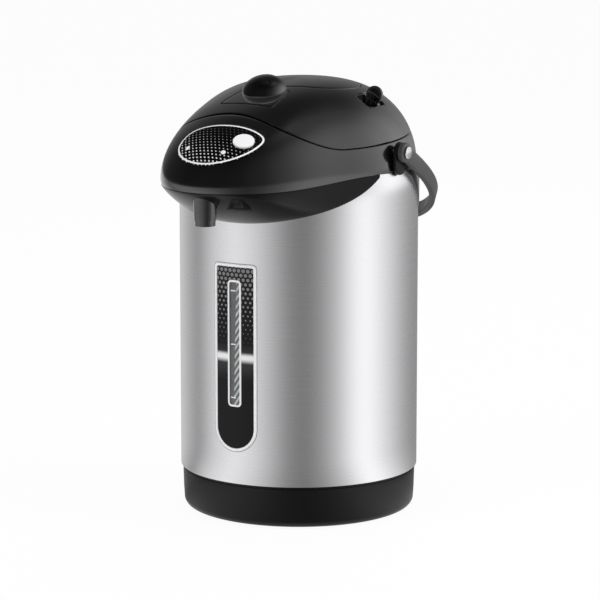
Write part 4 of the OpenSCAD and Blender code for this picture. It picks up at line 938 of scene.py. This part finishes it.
def make_lever(finish):
    """Trapezoid flap with rounded corners, its knob and the two barrels of its pin."""
    flap = draped("flap", dense(lever_outline(0, 3.7), 2.5), 0.8, PLATE_T, rows=12)
    knob = make_knob()
    pin_z = float(head_z(0, PIN_Y)) - PIN_DROP
    h, r = BARREL_HW, BARREL_R
    profile = [(0, -h), (r - 0.4, -h), (r, 0.208 - h), (r, h - 0.208), (r - 0.4, h), (0, h)]
    barrels = [lathe("barrel", profile, 32, "X", (x, PIN_Y, pin_z)) for x in (-BARREL_X, BARREL_X)]
    return dress(joined("lid_release", flap, knob, *barrels), "lever", "black_gloss", finish, ["lid_lever"])


def make_well(finish):
    """The recess in the lid, with a slot in its floor for the lock's stem."""
    lip = well_outline(-0.2)

    def level(inwards, z):
        p = inset(lip, inwards)
        return stack(p[:, 0], p[:, 1], z)

    def edge(inwards, drop):
        p = inset(lip, inwards)
        return stack(p[:, 0], p[:, 1], head_z(p[:, 0], p[:, 1]) - 0.3 - drop)

    rows = [level(0, WELL_FLOOR - 1.2), edge(0, 0), edge(0.25, -0.12), edge(0.55, -0.05), edge(0.8, 0.3),
            level(0.8, WELL_FLOOR + 1.5), level(1.0, WELL_FLOOR + 0.6), level(1.6, WELL_FLOOR + 0.1),
            level(2.4, WELL_FLOOR)]
    well = skin("lock_recess", rows)
    cut(well, box("slot", (LOCK_REACH - 3, PLATE_Y - 13, WELL_FLOOR - 5),
                  (LOCK_REACH + 3, PLATE_Y + 9, WELL_FLOOR + 5)))
    return dress(well, "lid", "black_gloss", finish, ["lock_well"], 50)


def make_lock_marks(finish):
    """Four small raised dots on the recess's floor."""
    dots, z = [], WELL_FLOOR + 0.02
    for x, y, r in ((-4.6, -8.5, 0.55), (-4.6, 6.2, 0.75), (-4.9, -5.8, 0.35), (4.6, -8.0, 0.5)):
        dots.append(lathe("dot", [(0, z), (r, z), (r * 0.8, z + 0.18), (0, z + 0.2)], 20,
                          centre=(LOCK_REACH + x, PLATE_Y - 2 + y, 0)))
    return dress(joined("lock_marks", *dots), "lid", "key_white", finish)


def make_lock(finish):
    """The fin that turns in the recess: a disc on a saddle, with the stem below it."""
    lock_z = float(head_z(LOCK_REACH, PLATE_Y + 2))
    lean = np.array([sin_d(LID_SLOPE), 0, cos_d(LID_SLOPE)])
    h, flat_r, edge_r = LOCK_T / 2, LOCK_R - 1.0, 1.0
    edge = [(0, -h), (LOCK_R - 2.2, -h), (LOCK_R - 1.9, -h + 0.12), (LOCK_R - 1.5, -h + 0.12), (flat_r, -h)]
    edge += [(flat_r + edge_r * sin_d(w), -h + edge_r - edge_r * cos_d(w)) for w in (22.5, 45, 67.5, 90)]
    edge += [(r, -z) for r, z in edge[::-1]]
    disc = lathe("disc", edge, 72, "Y", LOCK_LIFT * lean + [LOCK_REACH, 0, lock_z])
    hw = WELL_HW - 1.9
    saddle = box("saddle", (LOCK_REACH - hw, -2.4, WELL_FLOOR + 0.4),
                 (LOCK_REACH + hw, 2.4, WELL_FLOOR + 30))
    level = box("level", (-20, -20, 0), (20, 20, 40))
    level.data.transform(Matrix.Translation((LOCK_REACH * MM, 0, (lock_z - 1) * MM)) @
                         Matrix.Rotation(np.radians(LID_SLOPE), 4, "Y"))
    cut(saddle, level)
    bevelled(saddle, 0.7, 40, 3)
    stem = box("stem", (LOCK_REACH - 1.5, -2.5, 318), (LOCK_REACH + 1.5, 2.5, WELL_FLOOR + 2))
    fin = joined("lock_fin", disc, saddle, stem)
    rest = Matrix.Translation((0, PLATE_Y * MM, 0)) @ Matrix.Rotation(np.radians(LOCK_REST), 4, "Z")
    fin.data.transform(rest)
    return dress(fin, "lock", "black_gloss", finish, ["lock_lever"])


# ---- Control panel

def chaikin(points, times):
    """Rounds a closed outline by cutting its corners."""
    for _ in range(times):
        ahead = np.roll(points, -1, 0)
        points = np.stack([mix(points, ahead, 0.25), mix(points, ahead, 0.75)], 1).reshape(-1, 2)
    return points


def panel_frame():
    return local_frame(*PANEL_MID)


def on_panel(flat, h):
    """Points h above the head over flat positions on the panel's own plane, found by Newton's steps."""
    middle, right, up, _ = panel_frame()
    a, z = PANEL_MID[0] + flat[:, 0] / 2.4, PANEL_MID[1] + flat[:, 1] * 0.8    # a first guess
    step = 0.01

    def miss(a, z):
        d = on_head(a, z) - middle
        return np.stack([d @ right, d @ up], -1) - flat

    for _ in range(10):
        e = miss(a, z)
        ja, jz = (miss(a + step, z) - e) / step, (miss(a, z + step) - e) / step
        det = ja[:, 0] * jz[:, 1] - ja[:, 1] * jz[:, 0]
        a = a - (e[:, 0] * jz[:, 1] - e[:, 1] * jz[:, 0]) / det
        z = z - (ja[:, 0] * e[:, 1] - ja[:, 1] * e[:, 0]) / det
    return on_head(a, z, h)


def panel_outline():
    """The panel's outline on its own plane, counterclockwise."""
    middle, right, up, _ = panel_frame()
    stops = chaikin(np.array(PANEL_STOPS, float), 4)[::-1]
    d = on_head(stops[:, 0], stops[:, 1]) - middle
    flat = np.stack([d @ right, d @ up], -1)
    area = (flat[:, 0] * np.roll(flat[:, 1], -1) - np.roll(flat[:, 0], -1) * flat[:, 1]).sum()
    return flat if area > 0 else flat[::-1]


def make_panel(finish, white):
    """Printed panel that follows the head, with a raised white line near its edge."""
    outline = panel_outline()
    middle = outline.mean(0)
    rows = [on_panel(mix(middle, outline, k), 0.3) for k in (0.1, 0.5, 0.85, 1)]
    rows += [on_panel(inset(outline, d), PANEL_T - h) for d, h in arc(PANEL_ROUND)]
    inner = inset(outline, PANEL_ROUND)
    rows += [on_panel(mix(middle, inner, k), PANEL_T) for k in np.linspace(1, 0.04, 14)[1:]]
    panel = skin("panel_face", rows)
    cut(panel, button_hole())
    dress(panel, "root", "gauge_black", finish, ["control_panel"])
    low, high = PANEL_T - 0.02, PANEL_T + LINE_RISE
    section = ((LINE_FROM, low), (LINE_FROM, high), (LINE_TO, high), (LINE_TO, low))
    line = [on_panel(inset(outline, d), h) for d, h in section]
    dress(skin("panel_line", line, wrap_rows=True), "root", "gauge_rim", white, sharp=60)


def make_lamps(finish):
    """The two low domes over the lamps."""
    w = np.arange(0, 360, 15)
    section = ((0.1, 1.02), (1.9, 1.02), (1.95, 1.2), (1.8, 1.4), (1.3, 1.58), (0.6, 1.64), (0.1, 1.65))
    domes = []
    for a, z in LAMP_STOPS:
        middle, right, up, out = local_frame(a, z)
        rings = [middle + np.outer(r * cos_d(w), right) + np.outer(r * sin_d(w), up) + out * h
                 for r, h in section]
        domes.append(skin("lens", rings))
    dress(joined("lamp_domes", *domes), "root", "key_white", finish, ["lamp_lenses"])


def make_button(finish):
    """Oval cap with a rounded edge and a slightly domed top, on a short stem."""
    middle, right, up, out = local_frame(BUTTON_A, BUTTON_Z)

    def ring(w, rx, ry, h):
        return middle + np.outer(rx * cos_d(w), right) + np.outer(ry * sin_d(w), up) + out * h

    def oval(k, h, shrink=0.0):
        return ring(np.arange(0, 360, 5), (BUTTON_RX - shrink) * k, (BUTTON_RY - shrink) * k, h)

    rows = [oval(0.1, -BUTTON_SINK), oval(1, -BUTTON_SINK), oval(1, BUTTON_RISE - BUTTON_ROUND)]
    rows += [oval(1, BUTTON_RISE - h, d) for d, h in arc(BUTTON_ROUND)][1:]
    for k in (0.85, 0.7, 0.5, 0.3, 0.1, 0.02):
        rows.append(oval(k, BUTTON_RISE + 0.3 * (1 - k * k), BUTTON_ROUND))
    cap = skin("cap", rows)
    w = np.arange(0, 360, 15)
    stem = skin("stem", [ring(w, BUTTON_STEM_R, BUTTON_STEM_R, h) for h in (-5.1, 0.2 - BUTTON_SINK)])
    dress(joined("button_cap", cap, stem), "dispense_key", "key_white", finish, ["dispense_button"])


# ---- Body

def wrap_on(flat, r):
    """Lays flat (x, z) points on an upright cylinder of radius r, facing the front."""
    x = flat[:, 0]
    return stack(x, -np.sqrt(r * r - x * x), flat[:, 1])


def gauge_outline(d):
    """The gauge's outline, d inside it: square upper corners rounded off and a half-round lower end."""
    w, c = GAUGE_W / 2 - d, 3.5 - d / 2
    mid, top = GAUGE_BOTTOM + GAUGE_W / 2, GAUGE_TOP - d
    lower = [(w * cos_d(v), mid + w * sin_d(v)) for v in np.arange(180, 361, 5)]
    upper = rounded([(-w, mid), (w, mid), (w, top), (-w, top)], c, 8)[18:]
    return dense(np.array(lower + [tuple(p) for p in upper]), 6)


def window_outline(d):
    w, low, high = WINDOW_W / 2 - d, WINDOW_BOTTOM + d, WINDOW_TOP - d
    return dense(rounded([(-w, low), (w, low), (w, high), (-w, high)], max(2.5 - d, 0.6), 6), 8)


def trim(name, outline, section, slot, finish, stands_for=(), sharp=60):
    """A closed moulding on the body: outline(d) is its plan and section lists (d, height over the body)."""
    rows = [wrap_on(outline(d), BODY_R + h) for d, h in section]
    return dress(skin(name, rows, wrap_rows=True), "root", slot, finish, stands_for, sharp)


def make_gauge(rim, face, white, shadow_strip):
    """The gauge's bezel, its face, a thin dark strip round it that paints the shadow in the gap, and the
    white line round the window.
    """
    outer = gauge_outline(0)

    def inside(d):
        return inset(outer, d)

    h = GAUGE_PROUD
    bezel = [(0.0, -0.2), (0.0, 0.3), (0.12, h - 0.32), (0.45, h - 0.06), (0.8, h), (1.5, h),
             (1.95, h - 0.08), (2.25, h - 0.3), (2.4, 0.3), (2.4, -0.2)]
    trim("gauge_bezel", inside, bezel, "gauge_rim", rim, ["gauge_frame"], 50)
    dress(copy_of("gauge_panel", "gauge_face"), "root", "gauge_black", face, ["gauge_panel"])
    # Painted shadow: a thin dark grey strip just outside the bezel, a little proud of the steel, stands for
    # the shadow in the gap round it.
    groove = [(0.05, -0.1), (-0.25, 0.12), (-0.55, 0.04), (-0.6, -0.1)]
    trim("gauge_shadow_strip", inside, groove, "bellows_rubber", shadow_strip)
    line = [(-1.0, 0.28), (-0.9, 0.62), (0.55, 0.62), (0.65, 0.45)]
    trim("window_line", window_outline, line, "gauge_rim", white)


def make_sight_card(finish):
    """Thin card that stands behind the window and follows the body's curve."""
    w, r, t = WINDOW_W / 2 - 0.1, BODY_R - 1.1, 0.4
    x = np.linspace(-w, w, 9)
    front, back = (stack(x, -np.sqrt(radius ** 2 - x ** 2), 0) for radius in (r, r - t))
    ring = np.concatenate([front, back[::-1]])
    rows = [ring + [0, 0, z] for z in (WINDOW_BOTTOM + 0.2, WINDOW_TOP - 0.2)]
    dress(skin("sight_card", rows), "root", "inner_plastic", finish)


def row_tree(name):
    """Geometry nodes: equal bars along a line, realised as one mesh."""
    tree = bpy.data.node_groups.new(name, "GeometryNodeTree")
    inputs = {"Count": "Int", "Start": "Vector", "Step": "Vector", "Bar size": "Vector",
              "Finish": "Material"}
    tree.interface.new_socket("Geometry", in_out="OUTPUT", socket_type="NodeSocketGeometry")
    for label, kind in inputs.items():
        tree.interface.new_socket(label, in_out="INPUT", socket_type="NodeSocket" + kind)
    nodes = tree.nodes
    given, out = nodes.new("NodeGroupInput"), nodes.new("NodeGroupOutput")
    line, bar = nodes.new("GeometryNodeMeshLine"), nodes.new("GeometryNodeMeshCube")
    line.mode = "OFFSET"
    place, real = nodes.new("GeometryNodeInstanceOnPoints"), nodes.new("GeometryNodeRealizeInstances")
    paint = nodes.new("GeometryNodeSetMaterial")
    for source, output, target, socket in (
            (given, "Count", line, "Count"), (given, "Start", line, "Start Location"),
            (given, "Step", line, "Offset"), (given, "Bar size", bar, "Size"),
            (line, "Mesh", place, "Points"), (bar, "Mesh", place, "Instance"),
            (place, "Instances", real, "Geometry"), (real, "Geometry", paint, "Geometry"),
            (given, "Finish", paint, "Material"), (paint, "Geometry", out, "Geometry")):
        tree.links.new(source.outputs[output], target.inputs[socket])
    return tree


def row_of_bars(name, tree, count, start, step, size, finish):
    """A plain mesh of the row that the tree makes; sizes in millimetres."""
    obj = placed(name, bpy.data.meshes.new(name))
    maker = obj.modifiers.new("row", "NODES")
    maker.node_group = tree
    values = {"Count": count, "Start": [v * MM for v in start], "Step": [v * MM for v in step],
              "Bar size": [v * MM for v in size], "Finish": finish}
    for item in tree.interface.items_tree:
        if item.item_type == "SOCKET" and item.in_out == "INPUT":
            maker[item.identifier] = values[item.name]
    return evaluated(obj)


def make_marks(white, pot_mark):
    """Level marks on the window and pressed marks in the pot, each a row of bars."""
    tree = row_tree("row of bars")
    ticks = row_of_bars("level_ticks", tree, 3, (-0.9, -BODY_R - 0.52, TICK_Z), (0, 0, TICK_STEP), TICK_SIZE,
                        white)
    dress(bevelled(ticks, 0.05, 40, 1), "root", "gauge_rim", white)
    marks = row_of_bars("pot_level_marks", tree, 5, (0, POT_MARK_Y, POT_MARK_Z), (0, 0, POT_MARK_STEP),
                        POT_MARK_SIZE, pot_mark)
    dress(bevelled(marks, 0.15, 40, 2), "root", "pot_steel", pot_mark)


def make_steel(finish):
    """Steel sleeve with turned lips, open behind the gauge."""
    slot_steps, inner_r = 12, BODY_R - BODY_WALL
    w = np.concatenate([np.linspace(-SLOT_A, SLOT_A, slot_steps + 1),
                        np.linspace(SLOT_A, 360 - SLOT_A, 242)[1:-1]])
    levels = [60, SLOT_BOTTOM, SLOT_TOP, 240, 262]
    section = [(BODY_R - 0.4, BODY_BOTTOM), (BODY_R - 0.12, BODY_BOTTOM + 0.12), (BODY_R, BODY_BOTTOM + 0.4)]
    section += [(BODY_R, z) for z in levels]
    section += [(BODY_R, BODY_TOP - 0.3), (BODY_R - 0.2, BODY_TOP), (inner_r + 0.1, BODY_TOP)]
    section += [(inner_r, z) for z in levels[::-1] + [BODY_BOTTOM]]
    rows = [stack(sin_d(w) * r, -cos_d(w) * r, z) for r, z in section]
    m, n = len(w), len(rows)
    low_out, high_out = section.index((BODY_R, SLOT_BOTTOM)), section.index((BODY_R, SLOT_TOP))
    low_in, high_in = section.index((inner_r, SLOT_BOTTOM)), section.index((inner_r, SLOT_TOP))
    faces = []
    for i in range(n):
        k = (i + 1) % n
        beside_slot = (i, k) in ((low_out, high_out), (high_in, low_in))
        for j in range(slot_steps if beside_slot else 0, m):
            q = (j + 1) % m
            faces.append((i * m + j, i * m + q, k * m + q, k * m + j))
    for j in range(slot_steps):
        faces.append((low_out * m + j, low_out * m + j + 1, low_in * m + j + 1, low_in * m + j))
        faces.append((high_out * m + j, high_in * m + j, high_in * m + j + 1, high_out * m + j + 1))
    for j in (0, slot_steps):
        faces.append((low_out * m + j, high_out * m + j, high_in * m + j, low_in * m + j))
    sleeve = solid("steel_sleeve", np.concatenate(rows), faces)
    return dress(sleeve, "root", "steel_skin", finish, ["steel_body"])


def make_base(finish):
    """Base ring with a rounded foot, a groove near its top and a spigot inside the steel."""
    r, b, top = BASE_ROUND, BASE_LIFT, BODY_BOTTOM
    edge = BASE_R - 1 - r
    profile = [(BASE_LEDGE_R, b), (edge - 1, b)]
    profile += [(edge + r * sin_d(w), b + r - r * cos_d(w)) for w in np.arange(0, 91, 6)]
    profile += [(BASE_R - 0.45, 16), (BASE_R - 0.1, 28)]
    groove = [(0, 3.2), (0.15, 2.6), (0.7, 2.3), (0.7, 1.7), (0.15, 1.4), (0, 1.0)]
    profile += [(BASE_R - d, top - h) for d, h in groove]
    profile += [(BASE_R + 0.05, top - 0.4), (BASE_SPIGOT_R, top + 0.9), (BASE_SPIGOT_R, top + 8),
                (94, top + 8), (93, top - 0.4), (BASE_WALL_R, 5), (BASE_WALL_R, 3.4), (BASE_LEDGE_R, 3.4)]
    ring = lathe("base_skirt", profile, 240)
    cut(ring, box("inlet", (-INLET_HW, 80, INLET_BOTTOM), (INLET_HW, 110, INLET_TOP)))
    return dress(ring, "root", "black_satin", finish, ["base_ring"])


# ---- Handle

def bail_pt(t, out, up, side):
    """Point of the strap at angle t from the pivot (0) to the top (90), moved across its section."""
    x = HANDLE_HW * np.maximum(0, cos_d(t)) ** HANDLE_BOW
    s = HANDLE_L * np.maximum(0, sin_d(t)) ** HANDLE_END
    dx = -HANDLE_HW * HANDLE_BOW * sin_d(t) * np.maximum(1e-4, cos_d(t)) ** (HANDLE_BOW - 1)
    ds = HANDLE_L * HANDLE_END * cos_d(t) * np.maximum(1e-4, sin_d(t)) ** (HANDLE_END - 1)
    n = unit([ds, -dx])
    px, ps = x + out * n[0], s + out * n[1]
    return stack(side * px, PIVOT_Y + ps * cos_d(HANDLE_TILT) + up * sin_d(HANDLE_TILT),
                 PIVOT_Z - ps * sin_d(HANDLE_TILT) + up * cos_d(HANDLE_TILT))


def make_handle(finish):
    """Bail of flat strap with rounded edges and a hub at each end."""
    ht, hw = STRAP_T / 2, STRAP_W / 2
    section = rounded([(-ht, -hw), (ht, -hw), (ht, hw), (-ht, hw)], 1.9, 5)
    t = np.concatenate([[0.8, 1.4], np.linspace(2, 30, 22), np.linspace(31.5, 89, 40), [90.0]])
    rows = [bail_pt(v, section[:, 0], section[:, 1], 1) for v in t]
    rows += [bail_pt(v, section[:, 0], section[:, 1], -1) for v in t[-2::-1]]
    strap = skin("strap", rows)
    flat_r, edge_r = HUB_R - 1.5, 1.5
    edge = [(PIVOT_R + 0.05, -ht + 0.1), (PIVOT_R + 0.4, -ht), (flat_r, -ht)]
    edge += [(flat_r + edge_r * sin_d(w), -ht + edge_r - edge_r * cos_d(w)) for w in (22.5, 45, 67.5, 90)]
    edge += [(r, -z) for r, z in edge[::-1]]
    hubs = [lathe("hub", edge, 64, "X", (side * HANDLE_HW, PIVOT_Y, PIVOT_Z)) for side in (-1, 1)]
    return dress(joined("bail_handle", strap, *hubs), "bail", "handle_grey", finish, ["handle"])


# ---- CAD nodes: copies with eased edges where they show, materials where they don't

# Node, name of its eased copy, width of the easing in millimetres, slot
EASED = [
    ("handle_brackets", "handle_mounts", 0.5, "black_satin"),
    ("handle_screws", "pivot_screws", 0.4, "bright_steel"),
    ("rear_skirt", "back_skirt", 0.0, "black_gloss"),
    ("base_plate", "underside_plate", 0.3, "black_satin"),
    ("base_feet", "foot_pads", 0.6, "foot_rubber"),
    ("base_screws", "underside_screws", 0.15, "bright_steel"),
    ("power_inlet", "mains_inlet", 0.4, "black_satin"),
    ("inlet_pins", "mains_pins", 0.25, "bright_steel"),
    ("inner_pot", "water_pot", 0.0, "pot_steel"),
    ("mouth_ring", "mouth_deck", 0.3, "black_satin"),
    ("pot_seal", "pot_gasket", 0.2, "silicone"),
    ("lid_liner", "lid_inside", 0.3, "inner_plastic"),
    ("lid_seal", "lid_gasket", 0.3, "silicone"),
    ("hinge_bracket", "hinge_block", 0.4, "black_gloss"),
    ("lid_hinge_arm", "hinge_tongue", 0.4, "black_gloss"),
    ("hinge_pin", "hinge_rod", 0.2, "bright_steel"),
    ("latch_hook", "latch_tongue", 0.2, "inner_plastic"),
    ("latch_keeper", "latch_catch", 0.3, "inner_plastic"),
    ("lever_pin", "release_pin", 0.1, "bright_steel"),
    ("lever_mount", "release_ears", 0.15, "inner_plastic"),
    ("sight_tube", "gauge_tube", 0.0, "clear"),
    ("gauge_window", "gauge_glass", 0.0, "clear"),
]
PLAIN = {
    "inner_plastic": ["chassis", "pump_housing", "lid_frame", "lock_ring", "plunger", "check_valve"],
    "board_green": ["control_board", "panel_board"],
    "board_black": ["board_parts", "button_switch", "pump_impeller"],
    "motor_steel": ["pump_motor", "thermostat"],
    "heater_metal": ["heater_plate"],
    "fuse_white": ["thermal_fuse"],
    "hose_clear": ["lower_hose", "upper_hose"],
    "bellows_rubber": ["bellows"],
    "bright_steel": ["bellows_spring", "lever_spring"],
}


def dress_cad(finishes):
    """Eased copies of the CAD nodes that show, plain finishes on those that don't."""
    for node, name, width, slot in EASED:
        piece = copy_of(node, name)
        if width:
            bevelled(piece, width, 40, 2)
        dress(piece, body_of(CAD[node])[0], slot, finishes[slot], [node], 34)
    for slot, nodes in PLAIN.items():
        for node in nodes:
            CAD[node].data.materials.clear()
            CAD[node].data.materials.append(finishes[slot])


def make_finishes():
    """Every finish by its name. A moulded one lists its shades, its roughness and then its skin."""
    black = grey(0.0030), grey(0.0042)
    mould = {
        "black_gloss": (*black, 0.17, 0.23, 700, 0.000008, 0.9, 0.10),
        "beak_gloss": (*black, 0.10, 0.14, 700, 0.000005, 0.0, 0.1, 0.12),
        "knob_gloss": (*black, 0.06, 0.10, 700, 0.000003, 1.0, 0.03),
        "black_satin": (grey(0.0040), grey(0.0052), 0.34, 0.42, 1600, 0.00003, 0.0, 0.1, 0.2),
        "handle_grey": (grey(0.040), grey(0.048), 0.34, 0.42, 1900, 0.00003),
        "inner_plastic": (grey(0.30), grey(0.34), 0.42, 0.55, 1500, 0.00003),
        "gauge_rim": (grey(0.86), grey(0.90), 0.22, 0.30, 900, 0.00001),
        "print_white": (grey(0.86), grey(0.90), 0.40, 0.50, 900, 0.00001),
        "key_white": (grey(0.84), grey(0.88), 0.26, 0.34, 900, 0.00001),
        "board_green": ((0.02, 0.11, 0.05), (0.03, 0.15, 0.07), 0.3, 0.45),
        "board_black": (grey(0.02), grey(0.03), 0.4, 0.5),
        "fuse_white": ((0.60, 0.57, 0.51), (0.66, 0.63, 0.57), 0.5, 0.6),
        "hose_clear": ((0.62, 0.63, 0.60), (0.68, 0.69, 0.66), 0.25, 0.4),
    }
    finishes = {name: moulded(name, *values) for name, values in mould.items()}
    finishes.update({
        "steel_skin": steel_sheet("steel_skin", grey(0.70), 0.26, 0.31, 2600, 0.000002),
        "pot_steel": steel_sheet("pot_steel", grey(0.66), 0.20, 0.30, 1400, 0.000004),
        "bright_steel": turned_steel("bright_steel", grey(0.62), 0.16, 0.26),
        "motor_steel": turned_steel("motor_steel", grey(0.50), 0.3, 0.42),
        "heater_metal": turned_steel("heater_metal", (0.62, 0.60, 0.56), 0.4, 0.55),
        "foot_rubber": rubber("foot_rubber", grey(0.014), grey(0.022)),
        "bellows_rubber": rubber("bellows_rubber", grey(0.03), grey(0.045)),
        "shadow_strip_grey": rubber("shadow_strip_grey", grey(0.20), grey(0.26), 0.6),
        # Painted shadow: the dark grey of the strip round the gauge's bezel.
        "silicone": rubber("silicone", (0.52, 0.52, 0.50), (0.60, 0.60, 0.57), 0.5),
        "clear": clear_plastic("clear"),
        "gauge_print": gauge_print("gauge_print"),
        "panel_print": panel_print("panel_print", *panel_frame()),
        "sight_print": sight_print("sight_print"),
    })
    return finishes


def build():
    photo_camera()
    pale_floor()
    studio_world()
    light_tent()
    studio_light()
    f = make_finishes()
    make_collar(f["black_gloss"])
    make_lid(f["black_gloss"])
    make_tray(f["beak_gloss"])
    make_nozzle(f["black_gloss"])
    make_push_plate(f["black_gloss"])
    make_lever(f["knob_gloss"])
    make_well(f["knob_gloss"])
    make_lock_marks(f["print_white"])
    make_lock(f["knob_gloss"])
    make_panel(f["panel_print"], f["print_white"])
    make_lamps(f["key_white"])
    make_button(f["key_white"])
    make_steel(f["steel_skin"])
    make_gauge(f["gauge_rim"], f["gauge_print"], f["print_white"], f["shadow_strip_grey"])
    make_sight_card(f["sight_print"])
    make_marks(f["print_white"], f["pot_steel"])
    make_base(f["black_satin"])
    make_handle(f["handle_grey"])
    dress_cad(f)


build()
